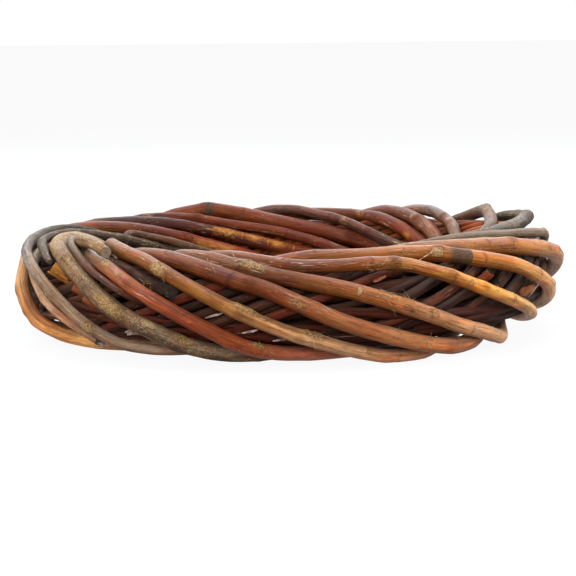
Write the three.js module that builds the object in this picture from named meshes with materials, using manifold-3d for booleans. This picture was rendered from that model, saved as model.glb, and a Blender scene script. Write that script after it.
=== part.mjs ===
// A willow wreath: whole rods wound round a hoop of thinner withies, lying flat.
// Millimetres and degrees, +Z up, the ring's axis along Z, the surface it lies on at z = 0.
import * as THREE from "three";
import { mergeVertices } from "three/addons/utils/BufferGeometryUtils.js";
import Module from "manifold-3d";

// Driving dimensions of the ring.
const WREATH_DIAMETER = 300;
const SECTION_DIAMETER = 54;
const RING_RADIUS = (WREATH_DIAMETER - SECTION_DIAMETER) / 2;
const SECTION_CENTRE_Z = SECTION_DIAMETER / 2 + 2;

// The ring isn't quite flat: its right end stands clear of the surface below.
const END_LIFT = 7;
const LIFT_SHARPNESS = 6;

// Ring angles run anticlockwise from the right, seen from above, and turn angles round the ring's section:
// 0 faces outwards, 90 is the top, 180 the inside and -90 the underside.

// The hoop of withies: how far it reaches from the section's centre, and how it is laid.
const HOOP_REACH = 19;
const HOOP_WITHIES = 12;
const HOOP_TURNS = 3.3;
const HOOP_SPAN = 352;
const WITHY_BUTT = 6;
const WITHY_TIP = 4.4;
const HEART_RODS = 4;
const HEART_SEAT = 8.4;
const HEART_TURNS = 1.4;
const HEART_BUTT = 8.4;
const HEART_TIP = 6.6;

// How the rods bed into each other when the wreath is drawn tight.
const CLEARANCE = 0.35;
const WANDER = 0.9;
const BULGE_SPREAD = 11;
const WITHY_FIRMNESS = 0.3;
const SETTLE_PASSES = 260;
const FIRM_PASSES = 60;
const SHAPE_KEPT = 0.985;
const BEND_SHARING = 0.35;
const FOOT_TRIM = 0.7;

// A knot's half length, half width, half height and seat, as shares of its rod's radius there.
const KNOT_LENGTH = 1.25;
const KNOT_WIDTH = 0.7;
const KNOT_HEIGHT = 0.5;
const KNOT_SEAT = 0.74;

// How finely the solids are faceted.
const ROD_STEP = 18;
const WITHY_STEP = 24;
const HEART_STEP = 30;
const THICK_ROD = 6.5;
const THICK_SIDES = 8;
const THIN_SIDES = 6;

// Bark colours.
const BARK = {
  tan: 0xa5683a,
  orange: 0xa34f22,
  russet: 0x8f3f22,
  olive: 0x726650,
  grey: 0x7d7468,
  amber: 0xb06a2c,
  banded: 0x9c6234,
  brown: 0x84492a,
  pink: 0x8d5f4c,
  rough: 0x4c3b2c,
  withy: 0x6d3d2c,
};

// The wound rods, from butt to tip. A route is a list of [ring angle, turn angle].
// A bulge is [ring angle, height]: a place where the rod stands out from the others, as where it was
// bent sharply, or hangs low and bears on the surface below, or, below 0, where it lies deeper.
// Knots are the ring angles of the larger leaf scars and cut side twigs, on the rod's outer side.
const WOUND_RODS = [
  {
    name: "rod_tan", bark: "tan", butt: 9.2, tip: 6.2, bulges: [[296, 1.5]],
    knots: [-34, 292, 303, 311],
    route: [
      [-100, 205], [-88, 178], [-70, 130], [-58, 98], [-48, 76], [-39, 66], [-30, 50], [-18, 32],
      [-8, 15], [4, -12], [18, -48], [40, -92], [58, -140], [74, -178], [93, -197], [112, -221],
      [131, -250], [146, -275],
      [160, -318], [172, -358], [184, -405], [198, -452], [214, -495], [232, -542], [248, -600],
      [262, -645], [272, -661], [287, -663], [294, -670], [302, -688], [310, -708], [316, -723],
      [324, -741], [332, -760], [342, -788], [354, -824], [372, -862],
    ],
  },
  {
    name: "rod_orange", bark: "orange", butt: 9.4, tip: 7,
    bulges: [[113, 4], [170, 4], [309, 4.5], [584, 3]],
    knots: [68, 112, 263],
    route: [
      [36, 190], [56, 161], [71, 147], [89, 127], [98, 112], [107, 96], [113, 88], [120, 70],
      [130, 40], [140, 5], [155, -45], [170, -88], [187, -135], [203, -180], [220, -228], [235, -265],
      [247, -288], [257, -312], [268, -336], [277, -364], [287, -390], [295, -408], [302, -420],
      [309, -426], [317, -436], [325, -454], [340, -482], [365, -502], [383, -526], [398, -553],
      [405, -569], [412, -584],
      [419, -602], [428, -616], [440, -628], [455, -664], [472, -718], [488, -765], [505, -810], [522, -855],
      [540, -905], [556, -952], [573, -995], [580, -1005], [585, -1014], [589, -1023],
    ],
  },
  {
    name: "rod_russet", bark: "russet", butt: 8, tip: 5.8, bulges: [[-140, -4], [50, 1.5], [122, 2.5]],
    knots: [-122, 34],
    route: [
      [-190, 205], [-178, 180], [-160, 135], [-146, 102], [-136, 72], [-129, 53], [-122, 29],
      [-115, 8], [-109, -11], [-103, -32], [-97, -58], [-89, -80], [-76, -97], [-52, -122],
      [-24, -152], [2, -172], [16, -194], [24, -217], [34, -238], [45, -261], [55, -280], [66, -312],
      [85, -360], [100, -405], [118, -450], [148, -485],
    ],
  },
  {
    name: "rod_olive", bark: "olive", butt: 10, tip: 4.6, bulges: [[3, 2], [77, 4.2], [176, -1]],
    knots: [-143, -123, 140],
    route: [
      [-218, 210], [-203, 180], [-186, 130], [-172, 98], [-160, 78], [-149, 63], [-140, 42],
      [-134, 24], [-126, -3], [-118, -27], [-112, -50], [-106, -74], [-95, -96], [-80, -132],
      [-66, -175], [-56, -208], [-48, -238], [-41, -258], [-34, -269], [-20, -276], [-8, -282],
      [0, -288], [3.5, -293], [8, -295], [14, -294], [20, -295], [26, -302], [34, -320], [44, -356],
      [56, -402], [77, -450], [100, -508], [123, -548], [142, -564], [160, -585], [172, -608],
      [181, -630], [188, -650], [201, -663], [211, -678],
    ],
  },
  {
    name: "rod_grey", bark: "grey", butt: 7.4, tip: 4, bulges: [[25, 1], [4, -3], [364, -3]],
    knots: [22, 214],
    route: [
      [-32, 215], [-16, 178], [-4, 146], [1, 128], [12, 108], [22, 92], [31, 75], [42, 52], [62, 5],
      [78, -45], [94, -90], [116, -135], [136, -180], [158, -228], [170, -261], [178, -284],
      [185, -303], [192, -316], [204, -328], [210, -340], [216, -353], [224, -379], [230, -408], [235, -435],
      [246, -460], [266, -500], [286, -548], [302, -596], [315, -634], [326, -650], [336, -660],
      [348, -672], [360, -684], [370, -706], [380, -736], [396, -780], [416, -825], [445, -868],
      [470, -896], [490, -918], [508, -940],
    ],
  },
  {
    name: "rod_honey", bark: "amber", butt: 8.6, tip: 6.8, bulges: [[195, -2.5]],
    knots: [125, 199],
    route: [
      [50, 300], [66, 255], [84, 212], [101, 182], [119, 157], [137, 129], [149, 111], [160, 92],
      [168, 73], [178, 58], [187, 46], [194, 31], [197, 6], [199, -26], [203, -56], [213, -76],
      [226, -92], [245, -135], [262, -190], [280, -235],
    ],
  },
  {
    name: "rod_banded", bark: "banded", butt: 8.8, tip: 4.4, bulges: [[-57, 1.5]],
    knots: [-57, 118],
    route: [
      [-124, 205], [-114, 180], [-98, 138], [-85, 103], [-76, 87], [-69, 80], [-61, 72], [-56, 60],
      [-50, 51], [-44, 41], [-38, 30], [-32, 14], [-24, -6], [-17, -27], [-8, -58], [10, -92],
      [40, -136],
      [70, -180], [92, -212], [110, -233], [122, -257], [128, -272], [135, -298], [145, -332],
      [160, -366], [172, -408], [187, -455], [214, -530],
    ],
  },
  {
    name: "rod_brown", bark: "brown", butt: 9.2, tip: 4.8, bulges: [[-32, 5.5], [91, 1.5]],
    knots: [-67, 60],
    route: [
      [-158, 205], [-146, 178], [-128, 138], [-113, 95], [-101, 61], [-91, 42], [-81, 28], [-71, 8],
      [-60, -18], [-53, -37], [-46, -52], [-38, -66], [-32, -76], [-26, -88], [-20, -97], [-12, -108],
      [10, -142], [36, -178], [51, -194],
      [64, -215], [71, -231], [80, -247], [90, -272], [104, -312], [120, -358], [140, -412],
    ],
  },
  {
    name: "rod_amber", bark: "amber", butt: 7.8, tip: 6.6, bulges: [[232, -2.5], [297, 5.5]],
    knots: [244, 261, 272],
    route: [
      [148, -70], [157, -92], [175, -134], [194, -182], [208, -225], [220, -252], [227, -268],
      [234, -287], [240, -303], [246, -324], [253, -343], [261, -365], [269, -386], [280, -414],
      [286, -430], [293, -435], [299, -438], [306, -446], [316, -466], [334, -498],
    ],
  },
  {
    name: "rod_pink", bark: "pink", butt: 8.8, tip: 3.4, bulges: [[60, 1.5], [234, -1.5]],
    knots: [44],
    route: [
      [-2, 212], [14, 186], [28, 163], [36, 143], [46, 121], [56, 98], [65, 76], [78, 38], [92, 0],
      [112, -45], [130, -90], [150, -140], [168, -182], [188, -228], [200, -257], [209, -275],
      [216.5, -289.5], [223.5, -306.5], [228, -318], [232, -327], [234.5, -332],
    ],
  },
  {
    name: "rod_snapped", bark: "grey", butt: 5.4, tip: 4.4, bulges: [[182, -3]],
    knots: [],
    route: [[178, 66], [190, 43], [198, 30], [204, 19], [209, 5], [215, -13], [221, -29], [226, -50]],
  },
  {
    name: "rod_rough", bark: "rough", butt: 6.8, tip: 6, bulges: [[-138, -7.5], [-120, -6]],
    knots: [-124],
    route: [[-150, 120], [-138, 88], [-128, 60], [-121, 40], [-113, 26]],
  },
];

// A seeded draw between 0 and 1, so that every build gives the same wreath.
let seed = 20260;
function draw() {
  seed = (seed * 16807) % 2147483647;
  return seed / 2147483647;
}

const radians = THREE.MathUtils.degToRad;

// The point at a ring angle and a turn angle, at a distance from the centre of the ring's section.
function onRing(ringAngle, turnAngle, seat) {
  const ring = radians(ringAngle);
  const turn = radians(turnAngle);
  const reach = RING_RADIUS + seat * Math.cos(turn);
  const lift = END_LIFT * ((1 + Math.cos(ring)) / 2) ** LIFT_SHARPNESS;
  return new THREE.Vector3(
    reach * Math.cos(ring),
    reach * Math.sin(ring),
    SECTION_CENTRE_Z + lift + seat * Math.sin(turn),
  );
}

// Slow bends that no grown rod is without: a seeded sum of two waves along its length.
function wanderer(size) {
  const phases = [draw(), draw()].map((part) => part * Math.PI * 2);
  const waves = [1.6 + draw(), 3.3 + 1.5 * draw()];
  return (along) =>
    size * (Math.sin(waves[0] * along + phases[0]) + 0.5 * Math.sin(waves[1] * along + phases[1]));
}

// Evenly spaced points along a route, with the rod's radius at each.
function pacedRod(name, bark, pointAt, butt, tip, step) {
  const fine = [];
  const SAMPLES = 600;
  for (let i = 0; i <= SAMPLES; i++) fine.push(pointAt(i / SAMPLES));
  const curve = new THREE.CatmullRomCurve3(fine);
  curve.arcLengthDivisions = SAMPLES;
  const steps = Math.round(curve.getLength() / step);
  const points = curve.getSpacedPoints(steps);
  const radii = points.map((point, i) => THREE.MathUtils.lerp(butt, tip, i / steps) / 2);
  return { name, bark, points, home: points.map((point) => point.clone()), radii };
}

// A wound rod, from its row in the list.
function woundRod({ name, bark, butt, tip, bulges, knots, route }) {
  const line = new THREE.SplineCurve(route.map((station) => new THREE.Vector2(...station)));
  const rise = wanderer(WANDER / 2);
  function pointAt(t) {
    const { x: ring, y: turn } = line.getPointAt(t);
    const radius = THREE.MathUtils.lerp(butt, tip, t) / 2;
    const bulge = bulges.reduce(
      (sum, [at, height]) => sum + height * Math.exp(-(((ring - at) / BULGE_SPREAD) ** 2)),
      0,
    );
    return onRing(ring, turn, SECTION_DIAMETER / 2 - radius + bulge + rise(radians(ring)));
  }
  return { ...pacedRod(name, bark, pointAt, butt, tip, ROD_STEP), knots, from: route[0][0] };
}

// A withy of the hoop or of its heart, laid the other way from the wound rods.
function hoopWithy(name, index, count, { seat, turns, butt, tip, step }) {
  const from = draw() * 360;
  const phase = (index * 360) / count;
  const rise = wanderer(WANDER);
  const sway = wanderer(WANDER * 5);
  function pointAt(t) {
    const ring = from + HOOP_SPAN * t;
    const along = radians(ring);
    return onRing(ring, phase + turns * ring + sway(along), seat + rise(along));
  }
  return { ...pacedRod(name, "withy", pointAt, butt, tip, step), hoop: true };
}

// The nearest points of two straight stretches, as shares of each.
function nearestShares(a0, a1, b0, b1) {
  const a = a1.clone().sub(a0);
  const b = b1.clone().sub(b0);
  const r = a0.clone().sub(b0);
  const aa = a.dot(a);
  const bb = b.dot(b);
  const ab = a.dot(b);
  const ar = a.dot(r);
  const br = b.dot(r);
  const clamp = (value) => THREE.MathUtils.clamp(value, 0, 1);
  const spread = aa * bb - ab * ab;
  let s = spread > 1e-9 ? clamp((ab * br - ar * bb) / spread) : 0.5;
  const t = clamp((ab * s + br) / bb);
  s = clamp((ab * t - ar) / aa);
  return [s, t];
}

// Every pair of stretches that could come to touch, left out where they are neighbours on one rod.
function closePairs(rods, margin) {
  const stretches = rods.flatMap((rod) =>
    rod.points.slice(1).map((point, i) => ({
      rod,
      i,
      middle: point.clone().add(rod.points[i]).multiplyScalar(0.5),
      half: point.distanceTo(rod.points[i]) / 2 + rod.radii[i],
    })),
  );
  const pairs = [];
  stretches.forEach((a, n) => {
    for (const b of stretches.slice(n + 1)) {
      if (a.rod === b.rod && b.i - a.i < 4) continue;
      if (a.middle.distanceTo(b.middle) < a.half + b.half + margin) pairs.push([a, b]);
    }
  });
  return pairs;
}

// How firmly a rod stands its ground: thick ones give way less, and the hoop's withies most.
function firmness(rod, radius) {
  return radius ** 2 * (rod.hoop ? WITHY_FIRMNESS : 1);
}

// Moves two stretches apart until their bark clears.
function pushApart(a, b) {
  const [a0, a1] = [a.rod.points[a.i], a.rod.points[a.i + 1]];
  const [b0, b1] = [b.rod.points[b.i], b.rod.points[b.i + 1]];
  const [s, t] = nearestShares(a0, a1, b0, b1);
  const onA = a0.clone().lerp(a1, s);
  const onB = b0.clone().lerp(b1, t);
  const apart = onA.clone().sub(onB);
  const distance = Math.max(apart.length(), 1e-6);
  const [ra, rb] = [a.rod.radii[a.i], b.rod.radii[b.i]];
  const short = ra + rb + CLEARANCE - distance;
  if (short <= 0) return;
  apart.multiplyScalar(short / distance);
  const firmA = firmness(a.rod, ra);
  const firmB = firmness(b.rod, rb);
  const yieldA = firmB / (firmA + firmB);
  a0.addScaledVector(apart, yieldA * (1 - s));
  a1.addScaledVector(apart, yieldA * s);
  b0.addScaledVector(apart, (yieldA - 1) * (1 - t));
  b1.addScaledVector(apart, (yieldA - 1) * t);
}

// Lets a rod ease back towards its drawn shape, and shares each bend with its neighbours.
function easeBack(rod) {
  const moved = rod.points.map((point, i) => point.clone().sub(rod.home[i]));
  moved.forEach((shift, i) => {
    const before = moved[Math.max(i - 1, 0)];
    const after = moved[Math.min(i + 1, moved.length - 1)];
    const mean = before.clone().add(after).multiplyScalar(0.5);
    shift = shift.clone().lerp(mean, BEND_SHARING).multiplyScalar(SHAPE_KEPT);
    rod.points[i].copy(rod.home[i]).add(shift);
  });
}

// Keeps a rod on the surface that the wreath lies on.
function keepUp(rod) {
  rod.points.forEach((point, i) => {
    point.z = Math.max(point.z, rod.radii[i] - FOOT_TRIM);
  });
}

// Draws the wreath tight: the rods bed against each other and the hoop until none cuts into another.
function settle(rods) {
  const PAIRS_KEPT = 20;
  let pairs = [];
  for (let pass = 0; pass < SETTLE_PASSES + FIRM_PASSES; pass++) {
    if (pass % PAIRS_KEPT === 0) pairs = closePairs(rods, 6);
    if (pass < SETTLE_PASSES) rods.forEach(easeBack);
    rods.forEach(keepUp);
    pairs.forEach(([a, b]) => pushApart(a, b));
  }
}

// A rod's centre line: the settled points, which are evenly spaced.
class RodLine extends THREE.Curve {
  constructor(points) {
    super();
    this.points = points;
  }
  getPoint(t, target = new THREE.Vector3()) {
    const place = THREE.MathUtils.clamp(t, 0, 1) * (this.points.length - 1);
    const i = Math.min(Math.floor(place), this.points.length - 2);
    return target.copy(this.points[i]).lerp(this.points[i + 1], place - i);
  }
  getPointAt(u, target) {
    return this.getPoint(u, target);
  }
  getTangentAt(u, target) {
    return this.getTangent(u, target);
  }
}

// The rod's solid: a round section drawn along its line, then thinned from butt to tip.
function rodGeometry({ points, radii }) {
  const sides = Math.max(...radii) * 2 > THICK_ROD ? THICK_SIDES : THIN_SIDES;
  const section = new THREE.Shape(
    Array.from({ length: sides }, (unused, i) => {
      const angle = (2 * Math.PI * i) / sides;
      return new THREE.Vector2(Math.cos(angle), Math.sin(angle));
    }),
  );
  const swept = new THREE.ExtrudeGeometry(section, {
    steps: points.length - 1,
    bevelEnabled: false,
    extrudePath: new RodLine(points),
  });
  const place = swept.getAttribute("position");
  const corner = new THREE.Vector3();
  for (let v = 0; v < place.count; v++) {
    corner.fromBufferAttribute(place, v);
    let nearest = 0;
    points.forEach((point, i) => {
      if (point.distanceToSquared(corner) < points[nearest].distanceToSquared(corner)) nearest = i;
    });
    corner.sub(points[nearest]).setLength(radii[nearest]).add(points[nearest]);
    place.setXYZ(v, corner.x, corner.y, corner.z);
  }
  swept.deleteAttribute("normal");
  swept.deleteAttribute("uv");
  return mergeVertices(swept, 1e-3);
}

const wasm = await Module();
wasm.setup();

function toSolid(geometry) {
  return new wasm.Manifold(
    new wasm.Mesh({
      numProp: 3,
      vertProperties: new Float32Array(geometry.getAttribute("position").array),
      triVerts: new Uint32Array(geometry.index.array),
    }),
  );
}

function toGeometry(solid) {
  const mesh = solid.getMesh();
  const geometry = new THREE.BufferGeometry();
  geometry.setAttribute("position", new THREE.BufferAttribute(mesh.vertProperties, 3));
  geometry.setIndex(new THREE.BufferAttribute(mesh.triVerts, 1));
  return geometry;
}

// Everything under the surface that the wreath lies on, as one block to cut the feet flat with.
function underSurface() {
  const SIDE = 2 * WREATH_DIAMETER;
  const block = new THREE.BoxGeometry(SIDE, SIDE, SECTION_DIAMETER);
  block.translate(0, 0, -SECTION_DIAMETER / 2);
  block.deleteAttribute("normal");
  block.deleteAttribute("uv");
  return toSolid(mergeVertices(block));
}

// Where a rod passes a ring angle, counted on from where it starts, with its direction and radius there.
function placeAt({ points, radii, from }, ringAngle) {
  let ring = from;
  for (let i = 0; i < points.length - 1; i++) {
    const next = points[i + 1];
    const turned = THREE.MathUtils.radToDeg(Math.atan2(next.y, next.x)) - ring;
    const step = THREE.MathUtils.euclideanModulo(turned + 180, 360) - 180;
    if (ring + step >= ringAngle) {
      const share = THREE.MathUtils.clamp((ringAngle - ring) / step, 0, 1);
      return {
        point: points[i].clone().lerp(next, share),
        along: next.clone().sub(points[i]).normalize(),
        radius: THREE.MathUtils.lerp(radii[i], radii[i + 1], share),
      };
    }
    ring += step;
  }
  throw new Error(`no ring angle ${ringAngle} on this rod`);
}

// A knot: a low oval swelling on the side of the rod that faces away from the ring's section.
function knotSolid(rod, ringAngle) {
  const { point, along, radius } = placeAt(rod, ringAngle);
  const out = point.clone().sub(onRing(ringAngle, 0, 0));
  out.addScaledVector(along, -out.dot(along)).normalize();
  const across = new THREE.Vector3().crossVectors(out, along);
  const swelling = new THREE.IcosahedronGeometry(radius);
  swelling.scale(KNOT_LENGTH, KNOT_WIDTH, KNOT_HEIGHT);
  swelling.applyMatrix4(new THREE.Matrix4().makeBasis(along, across, out));
  point.addScaledVector(out, radius * KNOT_SEAT);
  swelling.translate(point.x, point.y, point.z);
  swelling.deleteAttribute("normal");
  swelling.deleteAttribute("uv");
  return toSolid(mergeVertices(swelling, 1e-3));
}

function rodMesh(rod, block) {
  const knots = (rod.knots ?? []).map((ringAngle) => knotSolid(rod, ringAngle));
  const solid = knots.reduce((whole, knot) => whole.add(knot), toSolid(rodGeometry(rod))).subtract(block);
  const material = new THREE.MeshStandardMaterial({
    color: BARK[rod.bark],
    roughness: 0.55,
    metalness: 0,
  });
  const mesh = new THREE.Mesh(toGeometry(solid), material);
  mesh.name = rod.name;
  return mesh;
}

function allRods() {
  const rods = WOUND_RODS.map(woundRod);
  for (let i = 0; i < HOOP_WITHIES; i++) {
    const butt = WITHY_BUTT - 0.8 * draw();
    rods.push(
      hoopWithy(`hoop_withy_${i + 1}`, i, HOOP_WITHIES, {
        seat: HOOP_REACH - butt / 2,
        turns: HOOP_TURNS,
        butt,
        tip: WITHY_TIP,
        step: WITHY_STEP,
      }),
    );
  }
  for (let i = 0; i < HEART_RODS; i++) {
    rods.push(
      hoopWithy(`heart_rod_${i + 1}`, i, HEART_RODS, {
        seat: HEART_SEAT,
        turns: HEART_TURNS,
        butt: HEART_BUTT,
        tip: HEART_TIP,
        step: HEART_STEP,
      }),
    );
  }
  return rods;
}

const rods = allRods();
settle(rods);

const wreath = new THREE.Group();
wreath.name = "willow_wreath";
const block = underSurface();
rods.forEach((rod) => wreath.add(rodMesh(rod, block)));

// The origin stands under the middle of the wreath's outline.
const outline = new THREE.Box3().setFromObject(wreath);
const middle = outline.getCenter(new THREE.Vector3());
wreath.position.set(-middle.x, -middle.y, 0);

export default wreath;
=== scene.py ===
import math

import bpy
import numpy as np
from mathutils import Matrix, Vector


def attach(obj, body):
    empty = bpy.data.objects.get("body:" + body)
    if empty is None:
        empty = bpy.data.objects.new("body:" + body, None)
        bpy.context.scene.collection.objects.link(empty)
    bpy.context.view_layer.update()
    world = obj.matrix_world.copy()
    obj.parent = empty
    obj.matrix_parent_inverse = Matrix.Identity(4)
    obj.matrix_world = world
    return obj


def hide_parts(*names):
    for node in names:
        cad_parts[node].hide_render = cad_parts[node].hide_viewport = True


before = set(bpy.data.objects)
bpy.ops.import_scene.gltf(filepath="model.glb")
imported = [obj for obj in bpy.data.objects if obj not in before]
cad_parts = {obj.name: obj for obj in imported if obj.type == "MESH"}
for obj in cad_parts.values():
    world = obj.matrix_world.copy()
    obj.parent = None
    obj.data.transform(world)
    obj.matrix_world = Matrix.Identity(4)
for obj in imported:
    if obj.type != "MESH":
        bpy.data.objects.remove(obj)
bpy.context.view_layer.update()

# The steps that the solid rods were faceted at, and the ones that the bark is drawn at.
WOUND_STEP = 0.018
WITHY_STEP = 0.024
HEART_STEP = 0.030
SLICE_STEP = 0.0015
WOUND_SPACING = 0.0016
WITHY_SPACING = 0.003
HEART_SPACING = 0.005
WOUND_SIDES = 24
WITHY_SIDES = 14
HEART_SIDES = 10

# Finding a rod in its solid: corners closer than this are one, the first slice's depth, how far a slice's middle
# may stray before the rod is lost, and limits on the points of a slice and on the slices.
SAME_CORNER = 1e-6
FIRST_SLICE = 0.0003
LOST = 0.004
MOST_CROSSINGS = 400
MOST_SLICES = 4000

# A cut end in a solid: its triangles' longest edge and least size, how alike they face, its corners, and how round.
END_EDGE = 0.0115
END_LEAST = 1e-8
END_FLAT = 0.9999
END_CORNERS = (6, 8)
END_ROUND = 1.02

# A knot: how far it stands out of the rod, its outline's share, and the least distance from an end and between two.
KNOT_OUT = 1.09
KNOT_RIM = 1.06
KNOT_FROM_END = 0.004
KNOT_APART = 0.006

# The bark's tones are given as they look in full light, and this is the share of it that bark sends back.
BARK_DEPTH = 0.35

# The camera: its distance, its height angle, the height that it looks at, its lens and its lean.
CAMERA_DISTANCE = 1.14
CAMERA_ELEVATION = 7.0
CAMERA_AIM = 0.0225
FOCAL_PIXELS = 2084.9
PHOTO_WIDTH = 576
CAMERA_ROLL = -0.6


# Shader and geometry maths.


class Amount:
    """A number's socket, on which Python's operators add Math nodes."""

    def __init__(self, tree, socket):
        self.tree = tree
        self.socket = socket

    def maths(self, operation, *others):
        """The number, and perhaps others, through a Math node."""
        return self.worked_out(operation, self, *others)

    def worked_out(self, operation, *values):
        node = self.tree.nodes.new("ShaderNodeMath")
        node.operation = operation
        for slot, value in zip(node.inputs, values):
            put(self.tree, slot, value)
        return Amount(self.tree, node.outputs[0])

    def __add__(self, other):
        return self.maths("ADD", other)

    def __radd__(self, other):
        return self.worked_out("ADD", other, self)

    def __sub__(self, other):
        return self.maths("SUBTRACT", other)

    def __rsub__(self, other):
        return self.worked_out("SUBTRACT", other, self)

    def __mul__(self, other):
        return self.maths("MULTIPLY", other)

    def __rmul__(self, other):
        return self.worked_out("MULTIPLY", other, self)

    def __truediv__(self, other):
        return self.maths("DIVIDE", other)

    def __rtruediv__(self, other):
        return self.worked_out("DIVIDE", other, self)

    def bell(self, width):
        """1 where the number is 0, and falling to nothing a few widths away."""
        share = self / width
        return (share * share * -1.0).maths("EXPONENT")

    def ramp(self, low, high):
        """0 below low, 1 above high, and a smooth rise between them."""
        node = self.tree.nodes.new("ShaderNodeMapRange")
        node.interpolation_type = "SMOOTHSTEP"
        put(self.tree, node.inputs[0], self)
        node.inputs[1].default_value = low
        node.inputs[2].default_value = high
        return Amount(self.tree, node.outputs[0])


def put(tree, slot, value):
    """Sets an input, or links it."""
    if isinstance(value, Amount):
        value = value.socket
    if isinstance(value, bpy.types.NodeSocket):
        tree.links.new(value, slot)
    else:
        slot.default_value = value


class Recipe:
    """A node tree under construction."""

    def __init__(self, tree):
        self.tree = tree

    def add(self, kind, settings=None, **values):
        """A node, with its settings made first and then its inputs, named or numbered as i0, i1 and so on."""
        node = self.tree.nodes.new(kind)
        for name, setting in (settings or {}).items():
            if name == "stops":
                self.set_stops(node, setting)
            else:
                setattr(node, name, setting)
        for name, value in values.items():
            numbered = name[0] == "i" and name[1:].isdigit()
            put(self.tree, node.inputs[int(name[1:]) if numbered else name], value)
        return node

    def set_stops(self, node, stops):
        ramp = node.color_ramp
        while len(ramp.elements) < len(stops):
            ramp.elements.new(0.5)
        for element, (place, colour) in zip(ramp.elements, stops):
            element.position = place
        for element, (place, colour) in zip(ramp.elements, stops):
            element.color = colour

    def amount(self, kind, settings=None, output=0, **values):
        return Amount(self.tree, self.add(kind, settings, **values).outputs[output])

    def grain(self, place, stretch, detail=2.0, roughness=0.5, shift=None):
        """Noise with so many waves a metre along the rod and both ways across it, perhaps moved."""
        vector = self.stretched(place, stretch)
        if shift:
            vector = self.moved(vector, shift)
        return self.amount("ShaderNodeTexNoise", Vector=vector, Scale=1.0, Detail=detail, Roughness=roughness)

    def cells(self, place, stretch, feature="F1"):
        """Distances in a pattern of cells, stretched as grain is."""
        vector = self.stretched(place, stretch)
        return self.amount("ShaderNodeTexVoronoi", {"feature": feature}, Vector=vector, Scale=1.0)

    def stretched(self, vector, scale):
        """The vector with each of its parts multiplied."""
        return self.add("ShaderNodeVectorMath", {"operation": "MULTIPLY"}, i0=vector, i1=scale).outputs[0]

    def moved(self, vector, shift):
        return self.add("ShaderNodeVectorMath", {"operation": "ADD"}, i0=vector, i1=shift).outputs[0]

    def blend(self, share, first, second, mode="MIX"):
        """Two colours mixed by a share."""
        node = self.add("ShaderNodeMix", {"data_type": "RGBA", "blend_type": mode, "clamp_factor": True})
        put(self.tree, node.inputs[0], share)
        put(self.tree, node.inputs[6], first)
        put(self.tree, node.inputs[7], second)
        return node.outputs[2]

    def tint(self, share, colour, over):
        """A colour multiplied by another one, by a share."""
        return self.blend(share, colour, self.blend(1.0, colour, over, "MULTIPLY"))


def tone(code, depth=1.0):
    """A linear colour from six hexadecimal digits, times a depth."""
    parts = [int(code[i : i + 2], 16) / 255 for i in (0, 2, 4)]
    linear = [p / 12.92 if p < 0.04045 else ((p + 0.055) / 1.055) ** 2.4 for p in parts]
    return (*(part * depth for part in linear), 1.0)


# Finding each rod's centre line in its solid.


class Shell:
    """A solid's corners, faces and edges, with doubled corners merged."""

    def __init__(self, node):
        mesh = node.data
        mesh.calc_loop_triangles()
        corners = np.empty(len(mesh.vertices) * 3)
        mesh.vertices.foreach_get("co", corners)
        faces = np.empty(len(mesh.loop_triangles) * 3, np.int32)
        mesh.loop_triangles.foreach_get("vertices", faces)
        keys = np.round(corners.reshape(-1, 3) / SAME_CORNER).astype(np.int64)
        unused, first, index = np.unique(keys, axis=0, return_index=True, return_inverse=True)
        self.corners = corners.reshape(-1, 3)[first]
        faces = index.reshape(-1)[faces].reshape(-1, 3)
        distinct = (faces[:, 0] != faces[:, 1]) & (faces[:, 1] != faces[:, 2]) & (faces[:, 2] != faces[:, 0])
        self.faces = faces[distinct]
        pairs = np.sort(np.concatenate([self.faces[:, [0, 1]], self.faces[:, [1, 2]], self.faces[:, [2, 0]]]), axis=1)
        self.edges, edge_index = np.unique(pairs, axis=0, return_inverse=True)
        self.face_edges = edge_index.reshape(3, -1).T
        self.edge_faces = [[] for edge in self.edges]
        for face, three in enumerate(self.face_edges):
            for edge in three:
                self.edge_faces[edge].append(face)

    def slice(self, centre, along):
        """The loop of points where the plane through the centre cuts the rod there."""
        height = (self.corners - centre) @ along
        a, b = self.edges.T
        crossing = (height[a] > 0) != (height[b] > 0)
        crossed = np.nonzero(crossing)[0]
        if len(crossed) == 0:
            return None
        share = height[a[crossed]] / (height[a[crossed]] - height[b[crossed]])
        points = self.corners[a[crossed]] + share[:, None] * (self.corners[b[crossed]] - self.corners[a[crossed]])
        place = dict(zip(crossed.tolist(), range(len(crossed))))
        start = int(crossed[np.argmin(np.linalg.norm(points - centre, axis=1))])
        loop = [place[start]]
        face = self.edge_faces[start][0]
        edge = start
        for unused in range(MOST_CROSSINGS):
            edge = next(int(e) for e in self.face_edges[face] if crossing[e] and e != edge)
            if edge == start:
                return points[loop]
            loop.append(place[edge])
            face = next(f for f in self.edge_faces[edge] if f != face)
        return None


def loop_middle(loop, centre, along):
    """The middle of the face inside a loop of points round a centre."""
    across = np.cross(along, [0.0, 0.0, 1.0] if abs(along[2]) < 0.8 else [1.0, 0.0, 0.0])
    across /= np.linalg.norm(across)
    upward = np.cross(along, across)
    u = (loop - centre) @ across
    v = (loop - centre) @ upward
    turn = u * np.roll(v, -1) - v * np.roll(u, -1)
    area = turn.sum() / 2
    cu = ((u + np.roll(u, -1)) * turn).sum() / (6 * area)
    cv = ((v + np.roll(v, -1)) * turn).sum() / (6 * area)
    return centre + cu * across + cv * upward


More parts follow.
